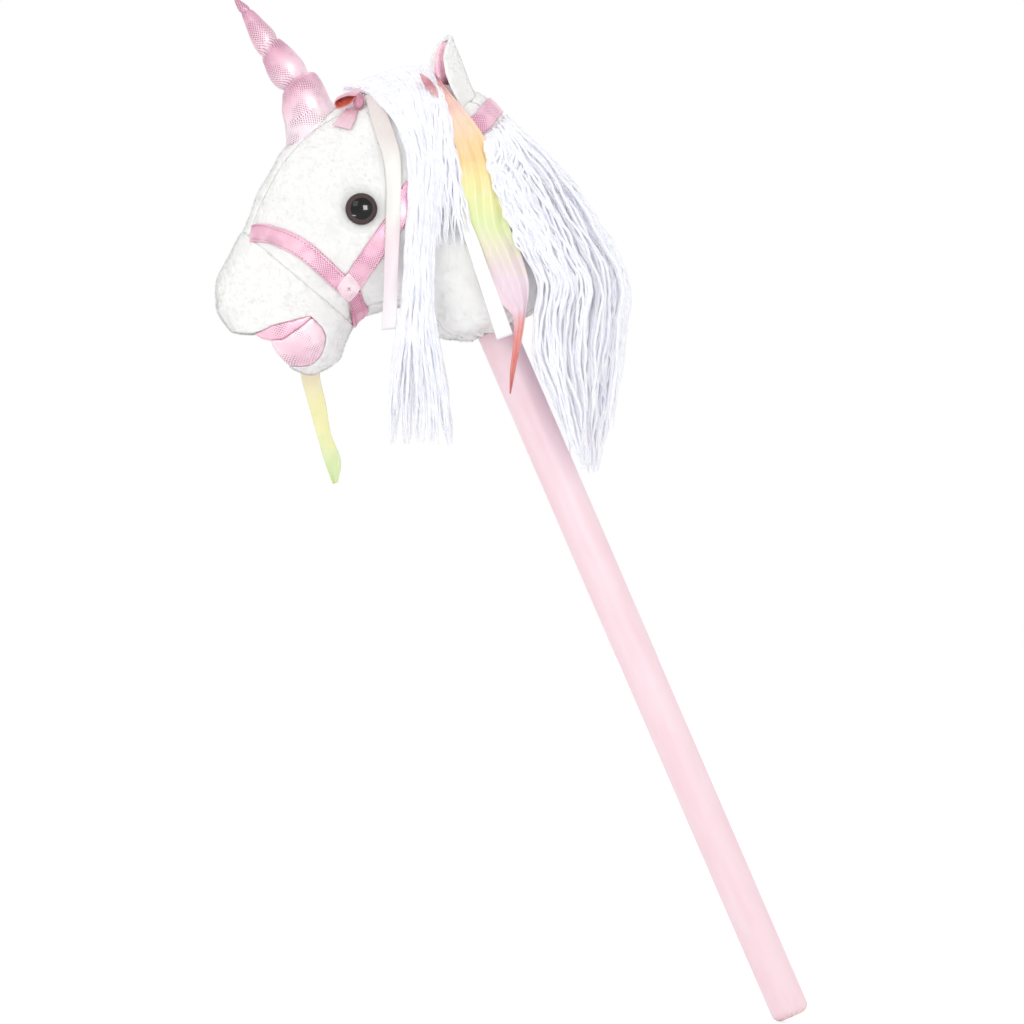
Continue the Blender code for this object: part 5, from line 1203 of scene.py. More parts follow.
# %% Rings round an ear's leaf
def ear_rings(axes, heights, near, thickness, border=0.0):
    """Rings round the leaf's cross-section, from the plush face at `near` to its inner face.

    A point at arc length s from the middle turns by s / curl, up to 70 degrees, and past that
    the flank runs straight. The two long sides of a ring are joined by half circles, so the
    leaf has a rounded edge.
    """
    back, up, ahead, aside = axes
    heights = np.asarray(heights, float)[:, None]
    curl = EAR_CURL + (EAR_TIP_CURL - EAR_CURL) * heights / EAR_HEIGHT
    width = np.maximum(ear_half_width(heights) - border, 0.6 * MM)
    edge = np.minimum(thickness / 2, width * 0.7)
    run, cap = np.linspace(-1, 1, 27), np.linspace(0, math.pi, 8)[1:-1]
    flat = np.concatenate([run, np.ones(6), run[::-1], -np.ones(6)])
    bulge = np.concatenate([0 * run, np.sin(cap), 0 * run, -np.sin(cap)])
    depth = near + thickness / 2 * np.concatenate([0 * run, 1 - np.cos(cap), 0 * run + 2,
                                                   1 + np.cos(cap)])
    reach = flat * (width - edge) + bulge * edge
    turn = np.clip(reach / curl, -EAR_BEND, EAR_BEND)
    straight = np.abs(reach) - curl * np.abs(turn)
    radius = curl - depth
    forward = curl - radius * np.cos(turn) + straight * math.sin(EAR_BEND)
    sideways = radius * np.sin(turn) + np.sign(reach) * straight * math.cos(EAR_BEND)
    return (back + up * heights[..., None] + ahead * forward[..., None]
            + aside * sideways[..., None])


# %% UVs of closed rings
def ring_uv(rings):
    """UVs in metres for closed rings: the way round each ring, and the way from ring to ring."""
    count, sides = rings.shape[:2]
    closed = np.concatenate([rings, rings[:, :1]], axis=1)
    along = np.repeat(arc_length(rings.mean(axis=1))[:, None], sides + 1, axis=1)
    at = np.stack([arc_length(closed), along], axis=-1)
    _, corner = grid_faces(count, sides, True)
    return [at[corner[..., 0], corner[..., 1]]]


# %% Both ears
fine = EAR_HEIGHT * np.sin(np.linspace(math.asin(EAR_FOLD_HEIGHT / EAR_HEIGHT), math.pi / 2, 30))
for ear_name, way in SIDES:
    axes = ear_axes(way)
    back, up, ahead, _ = axes
    leaf = ear_rings(axes, fine, 0.0, EAR_THICKNESS)
    foot = drop_along(leaf[0], -up, -2.0 * MM)
    low = foot + (leaf[0] - foot) * np.linspace(0, 1, 10)[:-1, None, None]
    leaf = np.concatenate([low, leaf])
    leaf += 0.25 * MM * np.sin(leaf @ (260.0, 190.0, 230.0))[..., None] * ahead
    points, quads, fans = closed_rings(leaf)
    normals = point_normals(points, [quads, fans])
    if normals[(points @ ahead).argmin()] @ ahead > 0:
        normals, quads, fans = -normals, quads[:, ::-1], fans[:, ::-1]
    wooly = quads[(np.arange(len(quads)) % leaf.shape[1] < 33)
                  | (np.arange(len(quads)) % leaf.shape[1] > 58)]
    blades, triangles, lifted = pile(points, normals, wooly, 2600, 1.1 * MM, -0.6 * up, 31)
    ear = add_mesh(f"plush_ear_{ear_name}", leaned(np.concatenate([points, blades])),
                   [quads, fans, triangles + len(points)],
                   normals=leaned(np.concatenate([normals, lifted])))
    finish_piece(ear, PLUSH, (f"ear_{ear_name}_root", f"ear_{ear_name}_outer"),
                 body=None)
    hinge = back + up * EAR_FOLD_HEIGHT
    bend = leaned(np.array([hinge - up * 4 * MM, hinge + up * 4 * MM]))
    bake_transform(ear)

    rows = np.concatenate([np.linspace(0.002, 0.014, 6), (EAR_HEIGHT - 3.0 * MM) * np.sin(
        np.linspace(0.42, math.pi / 2 * 0.97, 22))])
    inside = ear_rings(axes, rows, EAR_THICKNESS - 0.2 * MM, 1.1 * MM, 3.0 * MM)
    points, quads, fans = closed_rings(inside)
    lining = closed_mesh(f"foil_lining_{ear_name}", points, [quads, fans], ring_uv(inside))
    finish_piece(lining, EAR_FOIL_PAINTED_SHADE, (f"ear_{ear_name}_lining",), body=None)
    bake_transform(lining)

# %% [markdown]
# ## Bridle
#
# The straps are dotted foil cloth folded over at both edges and top-stitched, so a strap is
# thickest in two narrow hems and has a groove where the stitches pull. Pressing a flat band on
# the head would stretch its dots, so each crosswise line of a strap is worked out on the head's
# surface, at a lift.


# %% Places under a strap
def strap_surface(path, width, steps, across):
    """Places on the plush under a strap, as (section, angle), and its arc length in metres.

    A strap's crosswise direction is normal x tangent. It is turned into steps of section and
    angle with the pseudo-inverse of the two surface tangents.
    """
    where = np.linspace(0, len(path) - 1, steps)
    found = smooth_rows(path, where)
    middle = skin(found[:, 0], found[:, 1])
    normal = skin_normal(found[:, 0], found[:, 1])
    crosswise = unit(np.cross(normal, np.gradient(middle, axis=0)))
    nudge = 0.02
    base = np.stack([(skin(found[:, 0] + nudge, found[:, 1]) - middle) / nudge,
                     (skin(found[:, 0], found[:, 1] + nudge) - middle) / nudge], axis=-1)
    turn = np.einsum("nij,nj->ni", np.linalg.pinv(base), crosswise)
    shares = np.linspace(-0.5, 0.5, across) * width
    spots = found[:, None] + turn[:, None] * shares[None, :, None]
    return spots, shares, arc_length(middle)


# %% Stitches
STITCH_RADIUS, STITCH_INSET = 0.26 * MM, 2.0 * MM


def stitches(lines, spacing, length):
    """Short capsules along each line of (steps, 3) points: points and faces."""
    made_points, made_faces, start = [], [], 0
    for line in lines:
        along = arc_length(line)
        middles = np.arange(spacing, along[-1] - spacing / 2, spacing)
        ends = middles[:, None] + length * np.array([-0.5, -0.42, 0, 0.42, 0.5])
        paths = np.stack([np.interp(ends, along, line[:, i]) for i in range(3)], axis=-1)
        thick = STITCH_RADIUS * np.array([0.35, 0.85, 1.0, 0.85, 0.35])[None, :, None]
        points, faces, _ = tube(paths, thick, 6, (0.31, 0.2, 0.93))
        made_points.append(points)
        made_faces.append([part + start for part in faces])
        start += len(points)
    return np.concatenate(made_points), [np.concatenate(part) for part in zip(*made_faces)]


# %% A hemmed strap
def add_strap(name, node, path, width, lift, steps, material, thread, spacing=3.2 * MM):
    """A hemmed strap with two lines of stitches, as one mesh with two materials."""
    spots, shares, along = strap_surface(np.asarray(path, float), width, steps, 25)
    edge = width / 2 - np.abs(shares)
    hem = 0.30 * MM * np.exp(-((edge - 1.0 * MM) / (0.8 * MM)) ** 2)
    groove = 0.28 * MM * np.exp(-((edge - STITCH_INSET) / (0.45 * MM)) ** 2)
    body = 1.15 * MM * np.clip(edge / (0.7 * MM), 0, 1) ** 0.5
    pucker = 0.10 * MM * np.sin(along[:, None] * 2 * math.pi / spacing) * np.exp(
        -((edge - STITCH_INSET) / (1.6 * MM)) ** 2)
    soft = 0.35 * MM * np.sin(along[:, None] * 2 * math.pi / 0.021 + 1.0) * np.cos(
        shares / width * 3)
    height = lift + body + hem - groove + pucker + soft
    outer = skin(spots[..., 0], spots[..., 1], height)
    inner = skin(spots[..., 0], spots[..., 1], np.full(height.shape, lift - 0.9 * MM))
    at = np.stack(np.broadcast_arrays(along[:, None], shares[None]), axis=-1)
    points, quads, uv = wall(outer, inner, at=at)
    picks = [int(np.abs(edge[half] - STITCH_INSET).argmin()) + start
             for half, start in ((slice(0, 12), 0), (slice(13, 25), 13))]
    lines = [skin(spots[:, pick, 0], spots[:, pick, 1], height[:, pick] + 0.12 * MM)
             for pick in picks]
    seam_points, seam_faces = stitches(lines, spacing, spacing * 0.62)
    faces = [quads] + [part + len(points) for part in seam_faces]
    strap = closed_mesh(name, np.concatenate([points, seam_points]), faces, [uv],
                        groups=[0, 1, 1])
    return finish_piece(strap, [material, thread], (node,))


# %% Noseband, headstall and chin strap
for side_name, way in SIDES:
    add_strap(f"noseband_foil_{side_name}", f"noseband_{side_name}", NOSEBAND * (1, way),
              NOSEBAND_WIDTH, 0.7 * MM, 90, STRAP_FOIL, PINK_THREAD)
add_strap("headstall_foil", "headstall", HEADSTALL, HEADSTALL_WIDTH, 0.7 * MM, 200, STRAP_FOIL,
          WHITE_THREAD)
# The chin strap takes the darker foil: painted shade under the jaw.
add_strap("chin_strap_foil", "chin_strap", CHIN_STRAP, CHIN_STRAP_WIDTH, 0.9 * MM, 90,
          PAINTED_SHADE_FOIL, PINK_THREAD)

# %% [markdown]
# The patch that joins the straps is a small diamond, turned in all round and held by a cross of
# thread. Its outline is |x/a|^1.2 + |y/b|^1.2 = 1, a diamond whose corners are worn round.

# %% Diamond patches
PATCH_PLACE = (-0.0915, 0.1690)
patch_where, patch_angle = side_angle(*np.array(PATCH_PLACE)[:, None])
turns = np.linspace(0, 2 * math.pi, 72, endpoint=False)
diamond = (np.abs(np.cos(turns)) ** 1.2 + np.abs(np.sin(turns)) ** 1.2) ** (-1 / 1.2)
for side_name, way in SIDES:
    place = skin(patch_where, way * patch_angle)[0]
    normal = skin_normal(patch_where, way * patch_angle)[0]
    long_way = np.array([0.35, 0.0, 0.94])
    long_way = unit(long_way - normal * (long_way @ normal))
    short_way = np.cross(normal, long_way)
    shares = np.array([0.02, 0.25, 0.5, 0.68, 0.78, 0.86, 0.93, 0.98, 1.0, 1.0, 0.97])[:, None]
    x = shares * diamond * 12.8 * MM * np.cos(turns)
    y = shares * diamond * 9.3 * MM * np.sin(turns)
    height = np.array([1.15, 1.15, 1.1, 0.95, 0.80, 1.10, 1.15, 0.9, 0.5, -0.4, -0.6])[:, None] * MM
    height = height + 2.1 * MM + 0.2 * MM * np.cos(3 * turns + 1) * shares - 9.0 * (x**2 + y**2)
    rings = (place + x[..., None] * long_way + y[..., None] * short_way
             + height[..., None] * normal)
    points, quads, fans = closed_rings(rings)
    at = np.stack([x, y], axis=-1)
    _, corner = grid_faces(len(rings), len(turns), True)
    uv = [at[corner[..., 0], corner[..., 1] % len(turns)]]
    top = place + normal * 3.45 * MM
    cross = [top + np.linspace(-1, 1, 9)[:, None] * 3.4 * MM * unit(long_way * a + short_way * b)
             for a, b in ((1.0, 0.75), (1.0, -0.75))]
    cross_points, cross_faces = stitches(cross, 2.2 * MM, 1.7 * MM)
    faces = [quads, fans] + [part + len(points) for part in cross_faces]
    patch = closed_mesh(f"diamond_patch_{side_name}", np.concatenate([points, cross_points]),
                        faces, uv, groups=[0, 0, 1, 1])
    finish_piece(patch, [PALE_FOIL, PINK_THREAD],
                 (f"strap_patch_{side_name}",))

# %% [markdown]
# ## Mane and forelock
#
# The hair is yarn, sewn along the crest and to the poll. It is drawn strand by strand, because
# a lock made as one solid shows no strands at its outline and no dark between them. A lock is
# known by its front and back edges in the side view. A strand keeps a share of the way between
# them, starts where it is sewn, and lies on the head until it hangs free: its distance from the
# middle plane is the largest half width it has passed so far. Strands in a clump draw together
# towards the tips. The mane's upper strands begin below the plush, where the headstall covers
# their ends.


# %% Strands of yarn
def strand_mesh(name, paths, radius, nodes):
    """Two-lobed tubes: radius times 1 + 0.07 cos(2 turn + twist), tapered at the tip."""
    sides = 6
    count = len(paths)
    along = arc_length(paths)
    angle = np.arange(sides) * 2 * math.pi / sides
    twist = 2 * math.pi * along / YARN_TWIST
    taper = np.clip((along[:, -1:] - along) / (20 * MM), 0.0, 1) ** 0.7
    thick = radius[:, None, None] * (1 + 0.07 * np.cos(2 * angle + twist[..., None]))
    thick = thick * (0.12 + 0.88 * taper[..., None])
    points, faces, corner = tube(paths, thick, sides, (0.13, 1.0, 0.21))
    uv = np.empty((count, len(corner), 4, 2))
    uv[..., 0] = corner[..., 1] / sides
    uv[..., 1] = (along / YARN_TWIST)[:, corner[..., 0]]
    bundle = closed_mesh(name, points, faces, [uv.reshape(-1, 4, 2)])
    return finish_piece(bundle, GLOWING_YARN, nodes)


# %% Places between a lock's edges, waves, and how far out a strand lies
def between_edges(rows, where, share):
    """The side-view place at a share of the way from a lock's front edge to its back edge."""
    found = smooth_rows(rows, where)
    return found[..., :2] * (1 - share[..., None]) + found[..., 2:] * share[..., None]


def waves(chance, count, along, length, size):
    """Soft waves, one phase for each strand: two sines whose lengths do not fit each other."""
    phase = chance.uniform(0, 2 * math.pi, (2, count, 1))
    ratio = chance.uniform(0.8, 1.25, (count, 1))
    return size * (np.sin(2 * math.pi * along * ratio / length + phase[0])
                   + 0.25 * np.sin(2 * math.pi * along * ratio / (0.37 * length) + phase[1]))


def draped_depth(x, z, lift):
    """Distance from the middle plane: the largest half width passed so far down a strand."""
    return np.maximum.accumulate(half_width_at(x, z, lift), axis=1)


# %% The mane, in rows of front x and z, back x and z, from the headstall down
MANE = np.array((
    (0.0496, 0.2344, 0.0748, 0.2455), (0.0469, 0.2202, 0.0861, 0.2186),
    (0.0434, 0.2064, 0.0979, 0.1948), (0.0428, 0.1872, 0.1036, 0.1668),
    (0.0423, 0.1644, 0.1088, 0.1356), (0.0425, 0.1414, 0.1119, 0.1113),
    (0.0446, 0.1167, 0.1087, 0.0804), (0.0308, 0.0929, 0.0942, 0.0527),
    (0.0191, 0.0597, 0.0753, 0.0227), (0.0181, 0.0262, 0.0601, -0.0005),
    (0.0164, -0.0054, 0.0444, -0.0192), (0.0160, -0.0358, 0.0281, -0.0411),
))
YARN_LIFT, MANE_DEPTH = 3.0 * MM, 17.0 * MM


# %% Both halves of the mane
def mane_half(name, node, side, count, seed):
    """Strands from the tape on the crest, easing to their own share of the mane's width."""
    chance = np.random.default_rng(seed)
    share = 0.02 + 0.965 * (np.arange(count) + chance.uniform(0, 1, count)) / count
    layer = chance.uniform(0, 1, count) ** 0.8
    start = 4.6 * share * chance.uniform(0, 1, count)  # back strands are sewn on lower down
    end = 10.95 - 2.8 * chance.uniform(0, 1, count) ** 1.6
    # some strands end half-way down, and these lie in the outer layers
    short = chance.uniform(0, 1, count) < np.where(share < 0.34, 0.72, 0.42)
    end = np.where(short, np.minimum(4.3 + 6 * share, 8) + chance.uniform(-0.7, 1.2, count), end)
    layer = np.where(short, 0.45 + 0.55 * layer, layer)
    steps = 84
    down = np.linspace(0, 1, steps)[None, :]
    where = start[:, None] + (end - start)[:, None] * down
    crest_x = 0.0740 + 0.0042 * np.clip(2.5 * share, 0, 1)
    row = smooth_rows(MANE, start)
    root = np.clip((crest_x - row[:, 0]) / (row[:, 2] - row[:, 0]), 0, 1)
    root = share + (root - share) * np.clip(start / 0.8, 0, 1)
    ease = np.clip((where - start[:, None]) / (1.2 + 1.2 * share[:, None]), 0, 1)
    ease = ease * ease * (3 - 2 * ease)
    clump = (np.floor(share * 13) + 0.5) / 13
    pull = 0.55 * np.clip((where - 4) / 6, 0, 1) ** 1.3
    final = share[:, None] * (1 - pull) + clump[:, None] * pull
    now = root[:, None] * (1 - ease) + final * ease
    length = down * 0.28
    flat = between_edges(MANE, where, np.clip(now, 0, 1))
    flick = chance.normal(0, 2.6 * MM, (count, 1)) * down ** 3
    sway = waves(chance, count, length, 0.065, 1.3 * MM) * ease + flick
    x, z = flat[..., 0] + sway, flat[..., 1]
    swell = np.sqrt(np.maximum(1 - (2 * now - 1) ** 2, 0.0)) * 0.85 + 0.15
    deep = MANE_DEPTH * swell * layer[:, None] * (0.30 + 0.70 * ease)
    base = draped_depth(x, z, YARN_LIFT * 0.9)
    tucked = np.clip(1 - where / 0.6, 0, 1)
    y = base + (deep + 1.2 * MM) * (1 - tucked) - 2.8 * MM * tucked
    y = y + waves(chance, count, length, 0.06, 0.5 * MM) * ease
    paths = np.stack([x, -side * np.maximum(y, 0.9 * MM), z], axis=-1)
    return strand_mesh(name, paths, chance.uniform(1.15, 1.5, count) * MM, (node,))


mane_half("mane_yarn_left", "mane_left", 1, 180, 41)
mane_half("mane_yarn_right", "mane_right", -1, 180, 42)

# %% [markdown]
# The forelock is sewn along the crest between the bow and the ear. Each half's strands start on
# the other side of the crest, arch over it and fall back and down the cheek. Each path is a
# smooth curve through three places on the arch and then the rows of the lock.

# %% Forelock and short lock
NEAR_TOP = np.array((
    (-0.0320, 0.3130, -0.0145, 0.3122, 0.0126, 0.3099, 0.0332, 0.3026),
    (-0.0192, 0.3032, -0.0013, 0.3014, 0.0192, 0.2977, 0.0335, 0.2915),
    (-0.0118, 0.2890, 0.0020, 0.2855, 0.0190, 0.2816, 0.0332, 0.2771),
))
NEAR_LOCK = np.array((
    (-0.0072, 0.2700, 0.0260, 0.2624), (-0.0086, 0.2434, 0.0155, 0.2381),
    (-0.0184, 0.2187, 0.0016, 0.2118), (-0.0303, 0.1950, -0.0103, 0.1863),
    (-0.0429, 0.1699, -0.0229, 0.1612), (-0.0569, 0.1436, -0.0354, 0.1343),
    (-0.0723, 0.1197, -0.0429, 0.1070), (-0.0877, 0.0958, -0.0491, 0.0790),
    (-0.1010, 0.0709, -0.0566, 0.0500), (-0.1136, 0.0458, -0.0641, 0.0227),
))
SHORT_TOP = np.array((
    (0.0212, 0.3062, 0.0265, 0.3047, 0.0304, 0.3039, 0.0340, 0.3006),
    (0.0236, 0.2941, 0.0279, 0.2922, 0.0318, 0.2914, 0.0344, 0.2877),
    (0.0247, 0.2791, 0.0286, 0.2783, 0.0318, 0.2778, 0.0344, 0.2758),
))
SHORT_LOCK = np.array((
    (0.0225, 0.2622, 0.0331, 0.2611), (0.0147, 0.2401, 0.0281, 0.2377),
    (0.0038, 0.2151, 0.0219, 0.2098), (-0.0069, 0.1942, 0.0170, 0.1847),
    (-0.0177, 0.1692, 0.0108, 0.1585),
))


# %% A lock that arches over the crest
def lock(name, nodes, top, rows, side, count, seed, depth, steps, ragged, radius):
    """Strands over the crest through `top`, then down a lock's rows.

    Each row of `top` holds four places, from the front strand to the back one.
    """
    chance = np.random.default_rng(seed)
    share = (np.arange(count) + chance.uniform(0, 1, count)) / count
    layer = chance.uniform(0, 1, count)
    arch = np.stack([np.stack([np.interp(share, (0, 0.3, 0.65, 1), row[axis::2])
                               for axis in (0, 1)], axis=-1) for row in top], axis=1)
    arch[:, 0, 1] += (1.6 * layer - 0.8) * MM
    clump = (np.floor(share * 5) + 0.5) / 5
    knots = np.arange(len(rows))
    pull = 0.45 * (knots / knots[-1]) ** 1.5
    final = share[:, None] * (1 - pull) + clump[:, None] * pull
    flat = between_edges(rows, np.repeat(knots[None], count, axis=0).astype(float), final)
    first = arch[:, :1] + (-3 * MM, -8 * MM)
    flat = np.concatenate([first, arch, flat], axis=1)
    below = draped_depth(flat[..., 0], flat[..., 1], YARN_LIFT)
    swell = np.sqrt(np.maximum(1 - (2 * share - 1) ** 2, 0)) * 0.8 + 0.2
    grow = np.clip(np.arange(flat.shape[1]) / 4, 0.15, 1)
    y = below + depth * (layer * swell)[:, None] * grow
    y[:, 0] = -6 * MM
    y[:, 1] = 1 * MM + 4 * MM * layer
    y[:, 2] = np.maximum(y[:, 2], 8 * MM + 6 * MM * layer)
    knotted = np.stack([flat[..., 0], -side * y, flat[..., 1]], axis=-1)
    end = flat.shape[1] - 1 - ragged * chance.uniform(0, 1, count) ** 1.5
    down = np.linspace(0, 1, steps)[:, None] * end[None]
    paths = smooth_rows(knotted.transpose(1, 0, 2), down, np.arange(count)).transpose(1, 0, 2)
    length = np.linspace(0, 1, steps)[None] * 0.30
    grow = np.clip((length - 0.02) / 0.08, 0, 1)
    paths[..., 0] += waves(chance, count, length, 0.06, 1.0 * MM) * grow
    paths[..., 1] += waves(chance, count, length, 0.05, 0.5 * MM) * grow
    free = half_width_at(paths[..., 0], paths[..., 2], 1.2 * MM)
    clear = np.maximum(-side * paths[..., 1], free)
    paths[..., 1] = np.where(down.T > 1, -side * clear, paths[..., 1])
    return strand_mesh(name, paths, chance.uniform(*radius, count) * MM, nodes)


# %% Three locks
lock("forelock_yarn_left", ("forelock_left", "forelock_roll"), NEAR_TOP, NEAR_LOCK, 1, 150, 51,
     9 * MM, 100, 3.0, (1.0, 1.4))
lock("forelock_yarn_right", ("forelock_right",), NEAR_TOP, NEAR_LOCK, -1, 150, 52, 9 * MM, 100,
     3.0, (1.0, 1.4))
lock("short_yarn_left", ("short_lock_left",), SHORT_TOP, SHORT_LOCK, 1, 46, 53, 7 * MM, 64, 1.6,
     (0.9, 1.3))

# %% [markdown]
# ## Ribbons
#
# A ribbon is a thin sheet, sewn at its top and lying over the plush or hanging. Its two edges
# in the side view give its place. Across it, pleats made where it is gathered at the top run
# down and fade: a zigzag of the share of its width. Along it, a slow ripple grows downwards. A
# cloth simulation could hang it, but wouldn't leave it where the photograph shows it.


# %% Ribbon sheets
RIBBON_THICKNESS = 0.30 * MM


def ribbon(name, nodes, rows, side, material, body, lift, flat_size, pleats=0.0,
           pleat_count=2.0, ripple=0.9 * MM, steps=90, across=17, sewn=True, curl=0.0,
           phase=0.0):
    """A closed sheet between two edges, outer face = depth + pleats + ripple + curl.

    Body is the name of the body that the cloth rides on. A tuple (body above, body below, place
    of the joint in the row's frame) is not used, and the cloth then rides on no body.
    """
    where = np.repeat(np.linspace(0, len(rows) - 1, steps)[:, None], across, axis=1)
    share = np.repeat(np.linspace(0, 1, across)[None], steps, axis=0)
    flat = between_edges(np.array(rows), where, share)
    x, z = flat[..., 0], flat[..., 1]
    down = np.linspace(0, 1, steps)[:, None]
    inner = half_width_at(x, z, lift)
    if sewn:
        inner = np.where(down < 0.02, np.minimum(inner, half_width_at(x, z, 0.6 * MM)), inner)
    inner = np.maximum(np.maximum.accumulate(inner, axis=0), 0.3 * MM)
    length = arc_length(flat[:, across // 2])[:, None]
    fold = np.abs(((share * pleat_count + phase + 0.12 * np.sin(length * 60)) % 1) * 2 - 1)
    lifted = (pleats * fold * (1 - 0.6 * down)
              + ripple * np.clip(down * 3, 0, 1) * (0.5 + 0.5 * np.sin(
                  length * 2 * math.pi / 0.047 + share * 1.6 + phase * 5))
              + curl * (2 * share - 1) ** 2 * np.clip(down * 4, 0, 1))
    depth = inner + lifted
    outer = np.stack([x, -side * (depth + RIBBON_THICKNESS), z], axis=-1)
    inside = np.stack([x, -side * depth, z], axis=-1)
    run = np.repeat(length / length[-1], across, axis=1)
    at = np.stack([share * flat_size[0], run], axis=-1)
    points, quads, uv = wall(outer, inside, at=at)
    cloth = closed_mesh(name, points, [quads], [uv])
    if isinstance(body, str):
        finish_piece(cloth, material, nodes, body=body)
    else:
        finish_piece(cloth, material, nodes, body=None)
        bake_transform(cloth)
    return cloth


# %% The ribbons' edges, in rows of front x and z, back x and z, from the top down
CHEEK = (
    (-0.0203, 0.3046, -0.0083, 0.3010), (-0.0232, 0.2862, -0.0101, 0.2831),
    (-0.0254, 0.2694, -0.0113, 0.2666), (-0.0271, 0.2497, -0.0143, 0.2459),
    (-0.0342, 0.2273, -0.0229, 0.2241), (-0.0458, 0.2025, -0.0347, 0.1986),
    (-0.0580, 0.1764, -0.0479, 0.1720), (-0.0705, 0.1495, -0.0601, 0.1459),
    (-0.0815, 0.1279, -0.0704, 0.1240))
RAINBOW = (
    (0.0312, 0.2941, 0.0375, 0.2945), (0.0319, 0.2820, 0.0397, 0.2803),
    (0.0303, 0.2606, 0.0457, 0.2607), (0.0284, 0.2384, 0.0513, 0.2345),
    (0.0227, 0.2154, 0.0501, 0.2061), (0.0171, 0.1966, 0.0456, 0.1800),
    (0.0122, 0.1775, 0.0420, 0.1620), (0.0117, 0.1547, 0.0418, 0.1417),
    (0.0101, 0.1333, 0.0394, 0.1206), (0.0113, 0.1124, 0.0358, 0.1103),
    (0.0163, 0.0966, 0.0301, 0.1009), (0.0080, 0.0773, 0.0159, 0.0781),
    (-0.0019, 0.0603, 0.0030, 0.0599), (-0.0097, 0.0433, -0.0087, 0.0428))
TOP_FOLD = (
    (0.0248, 0.2999, 0.0260, 0.2998), (0.0247, 0.2919, 0.0305, 0.2924),
    (0.0268, 0.2838, 0.0320, 0.2841), (0.0299, 0.2773, 0.0313, 0.2775))
WHITE = (
    (0.0077, 0.1964, 0.0153, 0.1965), (0.0065, 0.1799, 0.0156, 0.1794),
    (0.0054, 0.1617, 0.0155, 0.1616), (0.0032, 0.1389, 0.0137, 0.1377),
    (0.0007, 0.1136, 0.0127, 0.1118), (-0.0023, 0.0851, 0.0111, 0.0845))
TAIL_JOINT = np.array((-0.03821, -0.05005, 0.13765))
FAR = ((-0.0434, 0.2925, -0.0321, 0.2892), (-0.0650, 0.2661, -0.0529, 0.2608),
       (-0.0929, 0.2272, -0.0800, 0.2216), (-0.1232, 0.1808, -0.1103, 0.1752),
       (-0.1437, 0.1472, -0.1294, 0.1410), (-0.1538, 0.1218, -0.1402, 0.1159),
       (-0.1574, 0.0979, -0.1446, 0.0940), (-0.1609, 0.0739, -0.1503, 0.0710),
       (-0.1636, 0.0521, -0.1515, 0.0486), (-0.1647, 0.0339, -0.1605, 0.0337))
BOW_TAIL = ((-0.0378, 0.2977, -0.0305, 0.2928), (-0.0466, 0.2930, -0.0361, 0.2859),
            (-0.0538, 0.2901, -0.0417, 0.2807))
CHEEK_JOINT = np.array((-0.1299, -0.0329, 0.2570))

# %% Ribbons
ribbon("cheek_organza", ("ribbon_cheek",), CHEEK, 1, CHEEK_SATIN,
       ("horse", "cheek_ribbon", CHEEK_JOINT), 2.4 * MM, (0.014, 0.190), ripple=1.0 * MM,
       curl=-0.8 * MM)
ribbon("rainbow_satin", ("ribbon_rainbow", "ribbon_rainbow_tail"), RAINBOW, 1, RAINBOW_SATIN,
       ("horse", "side_tails", TAIL_JOINT), 3.4 * MM, (0.030, 0.270),
       pleats=3.0 * MM, pleat_count=2.6, across=35, steps=160, phase=0.2)
ribbon("rose_satin_fold", (), TOP_FOLD, 1, TOP_FOLD_SATIN, "horse",
       9.5 * MM, (0.010, 0.018), ripple=0.4 * MM, steps=30, curl=-1.2 * MM, sewn=False)
ribbon("white_satin", ("ribbon_white",), WHITE, 1, WHITE_SATIN,
       ("horse", "side_tails", TAIL_JOINT), 5.4 * MM, (0.012, 0.113), ripple=0.5 * MM,
       sewn=False, steps=70)
ribbon("far_satin", ("ribbon_far",), FAR, -1, FAR_SATIN, "far_ribbon",
       2.4 * MM, (0.014, 0.29), ripple=1.2 * MM, steps=140)
ribbon("bow_end", ("bow_tail",), BOW_TAIL, 1, BOW_SATIN, "horse", 0.8 * MM,
       (0.013, 0.020), ripple=0.5 * MM, steps=34, curl=1.0 * MM)

# %% [markdown]
# ### The bow
#
# A small bow is tied on the forehead. Its loop is a flat tube, pink outside and red inside,
# that opens towards the near side, rises as it goes in and is pressed flat at its far end. The
# red darkens towards that far end: painted shade deep in the loop. A bent strip would need its
# ends hidden, and a tube has none.

# %% Bow loop
BOW_HALF_LENGTH, BOW_HALF_HEIGHT = 9.8 * MM, 3.7 * MM
SATIN_THICKNESS = 0.45 * MM
unlean = np.array([[math.cos(LEAN), 0, math.sin(LEAN)], [0, 1, 0],
                   [-math.sin(LEAN), 0, math.cos(LEAN)]])
width_there = half_width_at(np.array([-0.0400]), np.array([0.2960]), 3.0 * MM)[0]
bow_place = np.array((-0.0363, -width_there, 0.3028))
turns = np.linspace(0, 2 * math.pi, 73)[:-1]
in_share = np.linspace(0, 1, 16)[:, None]
long_way, up_way = unlean @ (0.90, 0.10, 0.42), unlean @ (-0.42, 0.0, 0.90)
pinch = 1 - 0.45 * np.cos(turns) - 0.10 * np.cos(2 * turns)
flute = 1 + 0.05 * np.cos(5 * turns + 2 * in_share)
x = BOW_HALF_LENGTH * np.cos(turns) * (1 + 0.10 * in_share) * flute
z = BOW_HALF_HEIGHT * np.sin(turns) * pinch * (1 - 0.75 * in_share**2) * flute
rings = (bow_place + x[..., None] * long_way + z[..., None] * up_way
         + in_share[..., None] * (unlean @ (2.0 * MM, 9.5 * MM, 6.5 * MM)))
out = np.stack([np.cos(turns) / BOW_HALF_LENGTH, np.sin(turns) / BOW_HALF_HEIGHT], axis=-1)
out = unit(out[:, :1] * long_way + out[:, 1:] * up_way)
at = np.stack(np.broadcast_arrays(np.linspace(0, 0.03, 73)[None], in_share), axis=-1)
